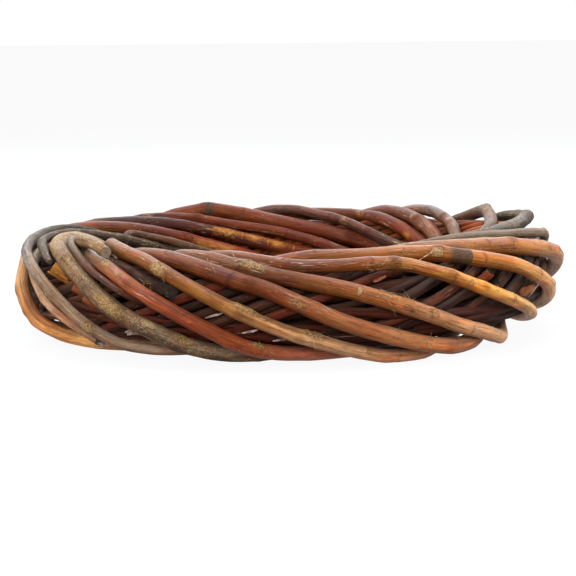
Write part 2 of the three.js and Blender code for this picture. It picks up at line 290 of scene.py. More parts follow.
def cut_faces(shell):
    """The middle, the inward direction and the radius of a rod's two cut ends."""
    a, b, c = (shell.corners[shell.faces[:, i]] for i in range(3))
    longest = np.max([np.linalg.norm(side, axis=1) for side in (a - b, b - c, c - a)], axis=0)
    facing = np.cross(b - a, c - a)
    size = np.linalg.norm(facing, axis=1)
    short = np.nonzero((longest < END_EDGE) & (size > END_LEAST))[0]
    facing = facing[short] / size[short][:, None]
    ends = []
    left = set(range(len(short)))
    neighbours = {}
    for i, face in enumerate(shell.faces[short]):
        for corner in face:
            neighbours.setdefault(int(corner), []).append(i)
    while left:
        group = [left.pop()]
        for i in group:
            for corner in shell.faces[short[i]]:
                for j in neighbours[int(corner)]:
                    if j in left and facing[i] @ facing[j] > END_FLAT:
                        left.discard(j)
                        group.append(j)
        rim = np.unique(shell.faces[short[group]])
        if len(group) == len(rim) - 2 and len(rim) in END_CORNERS:
            points = shell.corners[rim]
            middle = points.mean(axis=0)
            reach = np.linalg.norm(points - middle, axis=1)
            if reach.max() < reach.min() * END_ROUND:
                ends.append((middle, -facing[group[0]], reach.mean()))
    return sorted(ends, key=lambda end: -end[2])[:2]


def follow(shell, butt, tip):
    """Points along the rod's middle, from its butt to its tip, with the outline that each slice met."""
    centre = butt[0] + butt[1] * FIRST_SLICE
    along = butt[1]
    line = [butt[0]]
    outlines = [None]
    for unused in range(MOST_SLICES):
        loop = shell.slice(centre, along)
        if loop is None or len(loop) < 4:
            break
        middle = loop_middle(loop, centre, along)
        if np.linalg.norm(middle - centre) > LOST:
            break
        line.append(middle)
        outlines.append(loop)
        back = line[max(0, len(line) - 4)]
        if len(line) > 3:
            heading = middle - back
            along = heading / np.linalg.norm(heading)
        centre = middle + along * SLICE_STEP
        if np.linalg.norm(centre - tip[0]) < SLICE_STEP * 1.2:
            break
    line.append(tip[0])
    outlines.append(None)
    return np.array(line), outlines


def reach_along(points):
    """How far along a line of points each one is."""
    return np.concatenate([[0], np.cumsum(np.linalg.norm(np.diff(points, axis=0), axis=1))])


def smooth_through(points, spacing):
    """An even row of points on a smooth curve through the given ones."""
    ends = np.vstack([2 * points[0] - points[1], points, 2 * points[-1] - points[-2]])
    fine = []
    for i in range(len(points) - 1):
        p0, p1, p2, p3 = ends[i : i + 4]
        for t in np.linspace(0, 1, 24, endpoint=False):
            fine.append(
                0.5
                * (
                    2 * p1
                    + (p2 - p0) * t
                    + (2 * p0 - 5 * p1 + 4 * p2 - p3) * t * t
                    + (3 * p1 - 3 * p2 + p3 - p0) * t * t * t
                )
            )
    fine.append(points[-1])
    fine = np.array(fine)
    reach = reach_along(fine)
    steps = max(4, round(reach[-1] / spacing))
    return at_lengths(fine, reach, np.linspace(0, reach[-1], steps + 1))


def at_lengths(points, reach, lengths):
    return np.stack([np.interp(lengths, reach, points[:, k]) for k in range(3)], axis=1)


class Strand:
    """A middle line with its thickness, ring angles, knots and scars."""

    def __init__(self, name, points, radii, starts=None):
        self.name = name
        self.points = points
        self.radii = radii
        self.along = reach_along(points)
        self.length = self.along[-1]
        ring = np.degrees(np.unwrap(np.arctan2(points[:, 1], points[:, 0])))
        if starts is not None:
            ring += 360 * round((starts - ring[0]) / 360)
        self.ring = ring
        self.knots = []
        self.scars = []

    def place_at_ring(self, ring):
        """How far along the rod it first passes a ring angle."""
        passed = np.nonzero(self.ring >= ring)[0]
        return self.along[passed[0]] if len(passed) else self.length

    def frame_at(self, place):
        """The rod's direction there, its upward side and the side to the left of that."""
        at = min(max(int(np.searchsorted(self.along, place)), 2), len(self.points) - 3)
        ahead = self.points[at + 2] - self.points[at - 2]
        ahead /= np.linalg.norm(ahead)
        up = np.array([0, 0, 1.0]) - ahead * ahead[2]
        up /= np.linalg.norm(up)
        return ahead, up, np.cross(ahead, up)

    def side_at(self, place, turn):
        """The rod's direction there, and the way out of it at a turn from its upward side."""
        ahead, up, left = self.frame_at(place)
        angle = math.radians(turn)
        return ahead, up * math.cos(angle) + left * math.sin(angle)

    def tuck(self, reach, drop):
        """Carries the tip on by a reach, bending in and down among the inner rods, where its end is out of sight."""
        ahead = self.points[-1] - self.points[-3]
        ahead /= np.linalg.norm(ahead)
        inward = -self.points[-1] * [1, 1, 0]
        inward /= np.linalg.norm(inward)
        aim = ahead * 0.75 + inward * 0.6 - np.array([0, 0, drop])
        aim /= np.linalg.norm(aim)
        share = np.linspace(0, 1, 9)[1:, None]
        added = self.points[-1] + reach * (ahead * share + (aim - ahead) * share**2 * 0.6)
        points = np.concatenate([self.points, added])
        radii = np.concatenate([self.radii, np.full(8, self.radii[-1])])
        knots, scars = self.knots, self.scars
        Strand.__init__(self, self.name, points, radii, self.ring[0])
        self.knots, self.scars = knots, scars

    def thin_tip(self, reach, share):
        """Tapers the last reach of the rod to a share of its thickness."""
        left = self.along[-1] - self.along
        self.radii = self.radii * (1.0 - (1.0 - share) * np.clip(1.0 - left / reach, 0, 1))

    def knot_marks(self):
        mark, way = np.zeros(len(self.points)), np.zeros((len(self.points), 3))
        for place, out in self.knots:
            near = np.exp(-(((self.along - place) / (self.radii * 1.1)) ** 2))
            closer = near > mark
            mark[closer] = near[closer]
            way[closer] = out
        return mark, way

    def scar_marks(self):
        """At each point, the nearest scar: how far it is in its own lengths, its breadth and kind, and its sides."""
        count = len(self.points)
        reach, way, side = np.tile([99.0, 1.0, 0.0], (count, 1)), np.zeros((count, 3)), np.zeros((count, 3))
        for ring, turn, length, breadth, kind in self.scars:
            place = self.place_at_ring(ring)
            off = (self.along - place) / (length / 1000)
            closer = np.abs(off) < np.abs(reach[:, 0])
            ahead, facing = self.side_at(place, turn)
            reach[closer] = np.stack([off, np.full(count, 1000 / breadth), np.full(count, kind)], axis=1)[closer]
            way[closer] = facing
            side[closer] = np.cross(ahead, facing)
        return reach, way, side


class Rod(Strand):
    """A strand recovered from its solid."""

    def __init__(self, name, step, spacing, starts=None):
        shell = Shell(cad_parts[name])
        butt, tip = cut_faces(shell)
        line, outlines = follow(shell, butt, tip)
        reach = reach_along(line)
        count = max(1, round(reach[-1] / step))
        stations = at_lengths(line, reach, np.linspace(0, reach[-1], count + 1))
        points = smooth_through(stations, spacing)
        passed = reach_along(points)
        super().__init__(name, points, butt[2] + (tip[2] - butt[2]) * passed / passed[-1], starts)
        self.knots = self.find_knots(line, outlines, reach, butt[2], tip[2])

    def find_knots(self, line, outlines, reach, butt, tip):
        """Where the solid stands out past its round section, and which way."""
        knots = []
        for middle, loop, place in zip(line, outlines, reach):
            if loop is None or place < KNOT_FROM_END or place > reach[-1] - KNOT_FROM_END:
                continue
            radius = butt + (tip - butt) * place / reach[-1]
            out = loop - middle
            size = np.linalg.norm(out, axis=1)
            if size.max() > radius * KNOT_OUT:
                way = out[size > radius * KNOT_RIM].sum(axis=0)
                if knots and place - knots[-1][-1][0] < KNOT_APART:
                    knots[-1].append((place, way))
                else:
                    knots.append([(place, way)])
        found = []
        for group in knots:
            way = np.sum([w for p, w in group], axis=0)
            place = np.mean([p for p, w in group]) * self.length / reach[-1]
            found.append((place, way / np.linalg.norm(way)))
        return found


rods = {}
WOUND_STARTS = {
    "rod_tan": -100,
    "rod_orange": 36,
    "rod_russet": -190,
    "rod_olive": -218,
    "rod_grey": -32,
    "rod_honey": 50,
    "rod_banded": -124,
    "rod_brown": -158,
    "rod_amber": 148,
    "rod_pink": -2,
    "rod_snapped": 178,
    "rod_rough": -150,
}
for name, starts in WOUND_STARTS.items():
    rods[name] = Rod(name, WOUND_STEP, WOUND_SPACING, starts)
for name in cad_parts:
    if name.startswith("hoop_withy"):
        rods[name] = Rod(name, WITHY_STEP, WITHY_SPACING)
    if name.startswith("heart_rod"):
        rods[name] = Rod(name, HEART_STEP, HEART_SPACING)


# Drawing the bark along a rod's middle line.


def spread(strands, values):
    return np.concatenate([values(strand) for strand in strands])


def guide(name, strands):
    """The strands' middle lines as one mesh of points, with what the bark needs to know at each."""
    mesh = bpy.data.meshes.new(name + "_guide")
    points = spread(strands, lambda strand: strand.points)
    edges, first = [], 0
    for strand in strands:
        edges += [(first + i, first + i + 1) for i in range(len(strand.points) - 1)]
        first += len(strand.points)
    mesh.from_pydata(points.tolist(), edges, [])
    numbers = {
        "thickness": lambda strand: strand.radii,
        "ring": lambda strand: strand.ring,
        "along": lambda strand: strand.along,
        "knot": lambda strand: strand.knot_marks()[0],
    }
    for label, values in numbers.items():
        attribute = mesh.attributes.new(label, "FLOAT", "POINT")
        attribute.data.foreach_set("value", spread(strands, values).astype(np.float32))
    vectors = {
        "knot_way": lambda strand: strand.knot_marks()[1],
        "scar_reach": lambda strand: strand.scar_marks()[0],
        "scar_way": lambda strand: strand.scar_marks()[1],
        "scar_side": lambda strand: strand.scar_marks()[2],
    }
    for label, values in vectors.items():
        attribute = mesh.attributes.new(label, "FLOAT_VECTOR", "POINT")
        attribute.data.foreach_set("vector", spread(strands, values).astype(np.float32).ravel())
    return mesh


def named(recipe, name, kind="FLOAT"):
    return recipe.add("GeometryNodeInputNamedAttribute", {"data_type": kind}, Name=name).outputs[0]


# Kinds of scars and marks, and how far each raises or roughens the bark, in metres.
LEAF_SCAR, CRUST, RINGED_KNOT, RUBBED, BAND, DARK_JOINT = range(1, 7)
LEAF_SCAR_HEIGHT = 0.00035
CRUST_HEIGHT = 0.0013
RINGED_KNOT_HEIGHT = 0.0007
DARK_JOINT_HEIGHT = 0.0003

# A joint's swelling: half the width of its line and of the rise round it, and how far it sways, in metres.
JOINT_LINE = 0.0013
JOINT_RISE = 0.004
JOINT_SWAY = 0.004

# How far out along its rod's radius a bud sits, and the turn from one bud to the next, in radians.
BUD_SEAT = 0.93
GOLDEN_ANGLE = 2.4


def of_kind(number, wanted):
    """1 where a scar is of this kind."""
    return number.maths("COMPARE", float(wanted), 0.3)


def bark_tree():
    """Geometry Nodes that draw a rod with its joints, buds, knots and wrinkles."""
    tree = bpy.data.node_groups.new("rod in its bark", "GeometryNodeTree")
    sockets = [
        ("Geometry", "NodeSocketGeometry", None),
        ("Sides", "NodeSocketInt", 24),
        ("Joints", "NodeSocketInt", 30),
        ("Joint Spacing", "NodeSocketFloat", 0.03),
        ("Joint Swelling", "NodeSocketFloat", 0.0003),
        ("Bud Size", "NodeSocketFloat", 0.0016),
        ("Lump Height", "NodeSocketFloat", 0.0003),
        ("Wrinkle Height", "NodeSocketFloat", 0.0001),
        ("Knot Height", "NodeSocketFloat", 0.0012),
        ("Crag Height", "NodeSocketFloat", 0.0),
        ("Seed", "NodeSocketFloat", 0.0),
        ("Bark", "NodeSocketMaterial", None),
        ("Cut Wood", "NodeSocketMaterial", None),
    ]
    for label, kind, default in sockets:
        socket = tree.interface.new_socket(label, in_out="INPUT", socket_type=kind)
        if default is not None:
            socket.default_value = default
    tree.interface.new_socket("Geometry", in_out="OUTPUT", socket_type="NodeSocketGeometry")
    r = Recipe(tree)
    given = tree.nodes.new("NodeGroupInput").outputs

    def stored(geometry, name, value, kind="FLOAT"):
        """The geometry with a value kept at each of its points."""
        settings = {"data_type": kind, "domain": "POINT"}
        node = r.add("GeometryNodeStoreNamedAttribute", settings, Geometry=geometry, Name=name, Value=value)
        return node.outputs[0]

    line = r.add("GeometryNodeMeshToCurve", Mesh=given["Geometry"]).outputs[0]
    circle = r.add("GeometryNodeCurvePrimitiveCircle", Resolution=given["Sides"], Radius=1.0).outputs[0]
    share = r.add("GeometryNodeSplineParameter").outputs["Factor"]
    section = stored(circle, "around", share)
    bar = r.add("GeometryNodeCurveToMesh", i0=line, i1=section, i2=named(r, "thickness"), i3=True).outputs[0]
    around = Amount(tree, named(r, "around")) * (2 * math.pi)
    thickness = Amount(tree, named(r, "thickness"))
    along = Amount(tree, named(r, "along"))
    place = r.add(
        "ShaderNodeCombineXYZ",
        X=along + given["Seed"],
        Y=around.maths("COSINE") * thickness,
        Z=around.maths("SINE") * thickness,
    ).outputs[0]
    placed = stored(bar, "bark_place", place, "FLOAT_VECTOR")
    spot = named(r, "bark_place", "FLOAT_VECTOR")
    lumps = r.grain(spot, (45, 120, 120), 2.0) - 0.5
    wrinkles = r.grain(spot, (70, 900, 900), 3.0) - 0.5
    step = along / given["Joint Spacing"] + 0.5
    from_joint = (step.maths("FRACT") - 0.5) * given["Joint Spacing"]
    sway = (r.grain(spot, (60, 260, 260), 1.0) - 0.5) * JOINT_SWAY
    patchy = r.grain(spot, (18, 200, 200), 1.0).ramp(0.42, 0.6)
    joint = (from_joint + sway).bell(JOINT_LINE) * patchy
    swelling = from_joint.bell(JOINT_RISE) * 0.6 + joint * 0.5
    normal = r.add("GeometryNodeInputNormal").outputs[0]

    def towards(name):
        way = named(r, name, "FLOAT_VECTOR")
        dot = r.add("ShaderNodeVectorMath", {"operation": "DOT_PRODUCT"}, i0=normal, i1=way)
        return Amount(tree, dot.outputs["Value"])

    facing = towards("knot_way").maths("MAXIMUM", 0.0)
    scar = r.add("ShaderNodeSeparateXYZ", i0=named(r, "scar_reach", "FLOAT_VECTOR")).outputs
    scar_length, scar_breadth, scar_kind = (Amount(tree, part) for part in scar)
    off_side = towards("scar_side")
    across = off_side.maths("ARCTAN2", towards("scar_way")) * thickness * scar_breadth
    crumbs = r.grain(spot, (900, 900, 900), 3.0) - 0.5
    scar_size = scar_length * scar_length + across * across
    from_scar = scar_size.maths("SQRT") + crumbs * 0.5
    dome = 1.0 - from_scar.ramp(0.35, 1.15)
    knot = Amount(tree, named(r, "knot"))
    knob = knot * facing * facing * facing
    craggy = r.grain(spot, (520, 620, 620), 4.0, 0.65) - 0.42
    height = (
        lumps * given["Lump Height"]
        + wrinkles * given["Wrinkle Height"]
        + swelling * given["Joint Swelling"]
        + knob * given["Knot Height"] * (0.75 + craggy * 0.9)
        + dome * of_kind(scar_kind, LEAF_SCAR) * LEAF_SCAR_HEIGHT
        + dome * of_kind(scar_kind, CRUST) * (0.4 + craggy * 3.0) * CRUST_HEIGHT
        + dome * of_kind(scar_kind, RINGED_KNOT) * RINGED_KNOT_HEIGHT
        + (1.0 - from_scar.ramp(0.6, 1.1)) * of_kind(scar_kind, DARK_JOINT) * DARK_JOINT_HEIGHT
        + given["Crag Height"] * craggy * (0.4 + lumps * 2.0)
    )
    push = r.add("ShaderNodeVectorMath", {"operation": "SCALE"}, i0=normal, Scale=height).outputs[0]
    marked = stored(placed, "upward", r.add("ShaderNodeSeparateXYZ", i0=normal).outputs[2])
    marked = stored(marked, "knob", knob)
    marked = stored(marked, "joint", joint)
    scar_place = r.add("ShaderNodeCombineXYZ", X=scar_length, Y=across, Z=scar_kind).outputs[0]
    marked = stored(marked, "scar", scar_place, "FLOAT_VECTOR")
    shaped = r.add("GeometryNodeSetPosition", Geometry=marked, Offset=push).outputs[0]
    corners = r.add("GeometryNodeInputMeshFaceNeighbors").outputs["Vertex Count"]
    many = {"data_type": "INT", "operation": "GREATER_THAN"}
    is_end = r.add("FunctionNodeCompare", many, i2=corners, i3=4).outputs[0]
    is_side = r.add("FunctionNodeBooleanMath", {"operation": "NOT"}, i0=is_end).outputs[0]
    smooth = r.add("GeometryNodeSetShadeSmooth", Geometry=shaped, Selection=is_side).outputs[0]

    # Buds at the joints, each a golden angle round from the last.
    stops = r.add("GeometryNodeCurveToPoints", {"mode": "COUNT"}, Curve=line, Count=given["Joints"])
    count = Amount(tree, r.add("GeometryNodeInputIndex").outputs[0])
    angle = count * GOLDEN_ANGLE + Amount(tree, given["Seed"]) * 7.0
    twist = r.add("FunctionNodeAxisAngleToRotation", Axis=stops.outputs["Tangent"], Angle=angle).outputs[0]
    outward = r.add("FunctionNodeRotateVector", Vector=stops.outputs["Normal"], Rotation=twist).outputs[0]
    turned = r.add(
        "FunctionNodeAxesToRotation",
        {"primary_axis": "Z", "secondary_axis": "X"},
        i0=outward,
        i1=stops.outputs["Tangent"],
    ).outputs[0]
    lift = thickness * BUD_SEAT
    lifted = r.add("ShaderNodeVectorMath", {"operation": "SCALE"}, i0=outward, Scale=lift).outputs[0]
    seats = r.add("GeometryNodeSetPosition", Geometry=stops.outputs["Points"], Offset=lifted).outputs[0]
    bud = r.add("GeometryNodeMeshIcoSphere", Radius=1.0, Subdivisions=2).outputs[0]
    chance = Amount(tree, r.add("FunctionNodeRandomValue", {"data_type": "FLOAT"}, i2=0.55, i3=1.1, i8=3).outputs[1])
    size = chance * given["Bud Size"]
    shape = r.add("ShaderNodeCombineXYZ", X=size * 1.5, Y=size * 0.85, Z=size * 0.5).outputs[0]
    placing = {"Points": seats, "Instance": bud, "Rotation": turned, "Scale": shape}
    buds = r.add("GeometryNodeInstanceOnPoints", **placing).outputs[0]
    real_buds = r.add("GeometryNodeRealizeInstances", i0=buds).outputs[0]
    smooth_buds = r.add("GeometryNodeSetShadeSmooth", Geometry=real_buds).outputs[0]
    marked_buds = stored(smooth_buds, "knob", 0.6)
    bud_place = stored(marked_buds, "bark_place", r.add("GeometryNodeInputPosition").outputs[0], "FLOAT_VECTOR")
    join = tree.nodes.new("GeometryNodeJoinGeometry")
    tree.links.new(bud_place, join.inputs[0])
    tree.links.new(smooth, join.inputs[0])
    # The feet stay on the surface: nothing is pushed below it.
    at = r.add("ShaderNodeSeparateXYZ", i0=r.add("GeometryNodeInputPosition").outputs[0]).outputs
    floor_height = Amount(tree, at[2]).maths("MAXIMUM", 0.0)
    rested = r.add(
        "GeometryNodeSetPosition",
        Geometry=join.outputs[0],
        Position=r.add("ShaderNodeCombineXYZ", X=at[0], Y=at[1], Z=floor_height).outputs[0],
    ).outputs[0]
    # Set Material comes last: the bark everywhere, then the cut wood on the two end faces.
    real = r.add("GeometryNodeRealizeInstances", i0=rested).outputs[0]
    barked = r.add("GeometryNodeSetMaterial", Geometry=real, Material=given["Bark"]).outputs[0]
    ended = r.add("GeometryNodeSetMaterial", Geometry=barked, Selection=is_end, Material=given["Cut Wood"]).outputs[0]
    out = tree.nodes.new("NodeGroupOutput")
    tree.links.new(ended, out.inputs[0])
    return tree


def in_scene(name, data):
    """A new object in the scene, with the mesh, lamp or camera given."""
    thing = bpy.data.objects.new(name, data)
    bpy.context.scene.collection.objects.link(thing)
    return thing


def drawn(mesh, name, tree, settings):
    """The plain mesh that a tree makes of a guide."""
    source = in_scene(name + "_guide", mesh)
    modifier = source.modifiers.new("rod", "NODES")
    modifier.node_group = tree
    for item in tree.interface.items_tree:
        if item.in_out == "INPUT" and item.name in settings:
            modifier[item.identifier] = settings[item.name]
    seen = source.evaluated_get(bpy.context.evaluated_depsgraph_get())
    result = bpy.data.meshes.new_from_object(seen)
    source.modifiers.remove(modifier)
    bpy.data.objects.remove(source)
    result.name = name
    return in_scene(name, result)


# Bark and wood finishes.


def shader(name):
    material = bpy.data.materials.new(name)
    material.use_nodes = True
    material.node_tree.nodes.clear()
    return material, Recipe(material.node_tree)


def finish_shader(recipe, **values):
    """Ends a material with its surface, set or fed by the values."""
    surface = recipe.add("ShaderNodeBsdfPrincipled", None)
    for label, value in values.items():
        put(recipe.tree, surface.inputs[label.replace("_", " ")], value)
    out = recipe.add("ShaderNodeOutputMaterial")
    recipe.tree.links.new(surface.outputs[0], out.inputs[0])


def read(recipe, name, output="Fac"):
    return recipe.add("ShaderNodeAttribute", {"attribute_name": name}).outputs[output]


# Tints that the bark's colour is multiplied by.
RED_PATCH = "ba8850"
WARM_PATCH = "ffc890"
LONG_STREAK = "ae804a"
BETWEEN_STREAKS = "fff4e8"
FURROW = "8c6034"
RIDGE = "fffcf8"
REAR_WARMTH = "fff0d0"
# The undersides' tint, painted shade.
UNDERSIDE_SHADE = "90602e"
JOINT_SHADE = "8a6a54"
KNOT_SHADE = "96785e"

# Tones that are laid over it.
SCUFF = "f0dac0"
ALGAE = "332a22"
LICHEN = "e6d8a0"
LICHEN_GAP = "33291c"
PIT_CRUMB = "7e5a30"
PIT = "241810"
# A pale tone for the tops, partly dust and partly a painted highlight.
DUST_AND_HIGHLIGHT = "f4e0cc"
BLOOM = "b49c78"
PORE = "e0b878"
FLECK = "3a261a"


def bark(
    name,
    stops,
    seed,
    streaks=0.7,
    bloom=0.2,
    specks=0.4,
    dirt=0.3,
    gloss=0.45,
    grain=0.5,
    lichen=0.0,
    damp=0.36,
    dust=0.15,
    pits=0.0,
    shine=0.07,
    depth=BARK_DEPTH,
):
    """A rod's bark: its tones by ring angle, then patches, streaks, lichen and pits, a pale top that is partly dust
    and partly painted highlight, painted shade underneath, bloom, specks, joints, knots and dirt.
    """
    material, r = shader(name)
    low, high = stops[0][0], stops[-1][0]
    span = max(high - low, 1)
    ring = Amount(r.tree, read(r, "ring"))
    knob = Amount(r.tree, read(r, "knob"))
    joint = Amount(r.tree, read(r, "joint"))
    place = r.moved(read(r, "bark_place", "Vector"), (seed, seed * 0.37, 0))
    wobble = (r.grain(place, (50, 220, 220), 3.0) - 0.5) * 8.0
    colour = r.add(
        "ShaderNodeValToRGB",
        {"stops": [((at - low) / span, tone(code, depth)) for at, code in stops]},
        Fac=(ring + wobble - low) / span,
    ).outputs[0]
    # Broad patches, deeper red-brown or a warmer amber.
    patch = r.grain(place, (38, 130, 130), 4.0, 0.55)
    colour = r.tint(patch.ramp(0.46, 0.64) * 0.6, colour, tone(RED_PATCH))
    warm = r.grain(place, (60, 240, 240), 3.0, shift=(0, 9, 0))
    colour = r.tint(warm.ramp(0.5, 0.68) * 0.4, colour, tone(WARM_PATCH, 1.5))
    # Wrinkles and streaks along the rod: dark furrows, then pale scuffed ridges.
    long_streak = r.grain(place, (16, 560, 560), 4.0, 0.6, shift=(6, 2, 0))
    colour = r.tint(long_streak.ramp(0.5, 0.62) * 0.55, colour, tone(LONG_STREAK))
    colour = r.tint(1.0 - long_streak.ramp(0.36, 0.46), colour, tone(BETWEEN_STREAKS, 1.25))
    furrow = r.grain(place, (90, 1500, 1500), 6.0, 0.7)
    colour = r.tint(furrow.ramp(0.5, 0.64) * streaks * 0.85, colour, tone(FURROW))
    ridge = r.grain(place, (150, 2200, 2200), 4.0, 0.7, shift=(4, 0, 0))
    colour = r.tint(ridge.ramp(0.52, 0.68) * streaks * 0.7, colour, tone(RIDGE, 2.1))
    scuffed = r.grain(place, (30, 160, 160), 2.0, shift=(0, 0, 8)).ramp(0.55, 0.66)
    hair = r.grain(place, (120, 2400, 2400), 2.0, 0.5, shift=(0, 6, 0)).ramp(0.6, 0.7)
    colour = r.blend(scuffed * hair * 0.65, colour, tone(SCUFF, depth * 1.1))
    # Lichen and old algae: a dense speckle, pale above and nearly black below.
    speckle = r.grain(place, (1000, 1200, 1200), 4.0, 0.8)
    crust = r.grain(place, (90, 200, 200), 3.0).ramp(0.38, 0.6)
    upward = Amount(r.tree, read(r, "upward")) + (patch - 0.5) * 1.6
    if lichen:
        algae = r.grain(place, (48, 130, 130), 4.0, 0.6, shift=(2, 0, 3))
        colour = r.blend((algae - upward * 0.08).ramp(0.5, 0.6) * lichen, colour, tone(ALGAE, depth))
        dense = speckle.ramp(0.53, 0.62) * (0.25 + crust * 0.75) * lichen
        colour = r.blend(dense, colour, tone(LICHEN, depth * 1.15))
        colour = r.blend((1.0 - speckle.ramp(0.38, 0.47)) * lichen, colour, tone(LICHEN_GAP, depth))
    if pits:
        holes = r.grain(place, (420, 560, 560), 5.0, 0.7)
        colour = r.blend(holes.ramp(0.56, 0.66) * pits * 0.6, colour, tone(PIT_CRUMB, depth))
        colour = r.blend((1.0 - holes.ramp(0.4, 0.5)) * pits * 0.85, colour, tone(PIT, depth))
    # Tops get a pale tone, partly dust and partly a painted highlight, most at the right and least at the rear; the
    # rear is tinted warmer, and undersides get painted shade.
    turn = ring * (math.pi / 180)
    rear = turn.maths("SINE").ramp(-0.3, 0.5)
    right = turn.maths("COSINE").ramp(-0.1, 0.65)
    dust_and_highlight_share = upward.ramp(0.2, 1.25) * (0.3 + right * 0.75) * (1.0 - rear * 0.8) * dust
    colour = r.blend(dust_and_highlight_share, colour, tone(DUST_AND_HIGHLIGHT, depth * 1.1))
    colour = r.tint(rear * 0.7, colour, tone(REAR_WARMTH))
    # Painted shade: the undersides are darkened.
    colour = r.tint((1.0 - upward.ramp(-0.9, 0.15)) * damp, colour, tone(UNDERSIDE_SHADE))
    # A dull bloom where the bark has weathered.
    frost = r.grain(place, (70, 300, 300), 5.0, 0.65, shift=(0, 0, 5))
    colour = r.blend(frost.ramp(0.5, 0.72) * bloom, colour, tone(BLOOM, depth))
    # Pale breathing pores, few and small, and darker flecks.
    dots = r.cells(place, (330, 640, 640))
    rare = r.grain(place, (160, 400, 400), 1.0).ramp(0.5, 0.62)
    colour = r.blend((1.0 - dots.ramp(0.1, 0.2)) * rare * specks, colour, tone(PORE, depth * 1.2))
    flecks = r.cells(r.moved(place, (0.3, 0, 0)), (240, 560, 560))
    few = r.grain(place, (110, 330, 330), 2.0, shift=(3, 5, 7)).ramp(0.47, 0.62)
    fleck = (1.0 - flecks.ramp(0.12, 0.34)) * few
    colour = r.blend(fleck * dirt, colour, tone(FLECK, depth))
    # Joints and knots.
    crag = r.grain(place, (1300, 1300, 1300), 4.0, 0.7)
    colour = r.tint((joint * (0.4 + crag)).ramp(0.3, 0.8) * 0.55, colour, tone(JOINT_SHADE))
    colour = r.tint((knob * (0.5 + crag)).ramp(0.35, 0.8) * 0.4, colour, tone(KNOT_SHADE))
    colour = scarred(r, colour, place, crag, depth)
    roughness = 0.94 - gloss + (frost - 0.5) * 0.3 + (furrow - 0.5) * 0.3 + knob * 0.25
    relief = furrow * -0.9 + ridge * 0.8 + speckle * 0.5 * grain + frost * 0.4 - fleck * 0.5
    bump = r.add("ShaderNodeBump", None, Strength=0.6 + 0.3 * grain, Distance=0.0006, Height=relief).outputs[0]
    finish_shader(r, Base_Color=colour, Roughness=roughness, Normal=bump, Specular_IOR_Level=shine)
    return material


def scarred(r, colour, place, crag, depth):
    """Leaf scars, warty crusts, ringed knots, rubbed patches, dark bands and dark joints, each at its own place."""
    parts = r.add("ShaderNodeSeparateXYZ", i0=read(r, "scar", "Vector")).outputs
    length, across, sort = (Amount(r.tree, part) for part in parts)
    squares = length * length + across * across
    wander = (r.grain(place, (450, 650, 650), 4.0, 0.7) - 0.5) * 2.1
    size = squares.maths("SQRT") + wander
    crumb = r.grain(place, (1500, 2300, 2300), 4.0, 0.75)
    crack = r.cells(place, (550, 900, 900), "DISTANCE_TO_EDGE")
    pale, ochre, dark = (tone(code, depth) for code in ("dcb884", "e0bc80", "2e1c10"))
    # A leaf scar: a pale, cracked oval, darker at its heart and faintly outlined.
    neat = squares.maths("SQRT") + wander * 0.65
    lines = (neat * 14.0).maths("SINE").ramp(0.1, 0.9)
    oval = r.blend(lines * 0.55, pale, tone("a8804c", depth))
    oval = r.blend((1.0 - crack.ramp(0.02, 0.1)) * 0.7, oval, tone("5e3e20", depth))
    oval = r.blend(crumb.ramp(0.5, 0.62) * 0.6, oval, tone("b4823f", depth))
    colour = r.blend((neat - 0.98).bell(0.13) * of_kind(sort, LEAF_SCAR) * crumb.ramp(0.42, 0.56) * 0.8, colour, dark)
    inside = (1.0 - neat.ramp(0.7, 0.95)) * of_kind(sort, LEAF_SCAR)
    colour = r.blend(inside * crumb.ramp(0.36, 0.46) * 0.8, colour, oval)
    # A warty crust.
    crust = r.blend(crumb.ramp(0.4, 0.47), dark, r.blend(crumb.ramp(0.48, 0.62), tone("a0723c", depth), ochre))
    rim = 1.0 - (size + (crumb - 0.5) * 2.0).ramp(0.55, 0.95)
    colour = r.blend(rim * of_kind(sort, CRUST) * 0.92, colour, crust)
    # A knot with a few broken, wavy rings.
    waves = (size * 9.0).maths("SINE") * 0.5 + crumb
    rings = r.blend(waves.ramp(0.35, 0.9), tone("7a4c28", depth), tone("c8965c", depth))
    inside = (1.0 - size.ramp(0.6, 1.0)) * of_kind(sort, RINGED_KNOT)
    colour = r.blend(inside * crumb.ramp(0.36, 0.5) * 0.7, colour, rings)
    # Bark rubbed thin, amber and yellow.
    rub = r.grain(place, (160, 420, 420), 5.0, 0.65)
    amber = r.blend(rub.ramp(0.42, 0.6), tone("a85a1c", depth), tone("d8983c", depth))
    inside = (1.0 - (size * 0.8 + (rub - 0.5) * 2.4).ramp(0.3, 1.0)) * of_kind(sort, RUBBED)
    colour = r.blend(inside * 0.75, colour, amber)
    # A dark band round the rod, sharp at its far edge.
    edge = length + (crag - 0.5) * 0.08
    band = edge.ramp(-1.2, -0.5) * (1.0 - edge.ramp(0.95, 1.02)) * of_kind(sort, BAND)
    mottle = r.blend((crumb * 0.5 + crag * 0.5).ramp(0.42, 0.6), tone("2c221a", depth), tone("6a5038", depth))
    colour = r.blend(band * 0.88, colour, mottle)
    # A dark joint.
    smudge = (1.0 - size.ramp(0.3, 1.1)) * of_kind(sort, DARK_JOINT)
    return r.blend(smudge * 0.7, colour, r.blend(crumb.ramp(0.45, 0.6), dark, tone("9a6a3a", depth)))


def cut_wood(name, pale, shadow):
    """The weathered wood of a cut end, dark at its pith."""
    material, r = shader(name)
    place = read(r, "bark_place", "Vector")
    parts = r.add("ShaderNodeSeparateXYZ", i0=place).outputs
    y, z = Amount(r.tree, parts[1]), Amount(r.tree, parts[2])
    reach = (y * y + z * z).maths("SQRT")
    grain = r.grain(place, (1900, 1900, 1900), 3.0)
    colour = r.blend(grain.ramp(0.4, 0.62), tone(shadow, BARK_DEPTH), tone(pale, BARK_DEPTH))
    colour = r.blend(1.0 - reach.ramp(0.0003, 0.0007), colour, tone("5a3c28", BARK_DEPTH))
    finish_shader(r, Base_Color=colour, Roughness=0.75)
    return material
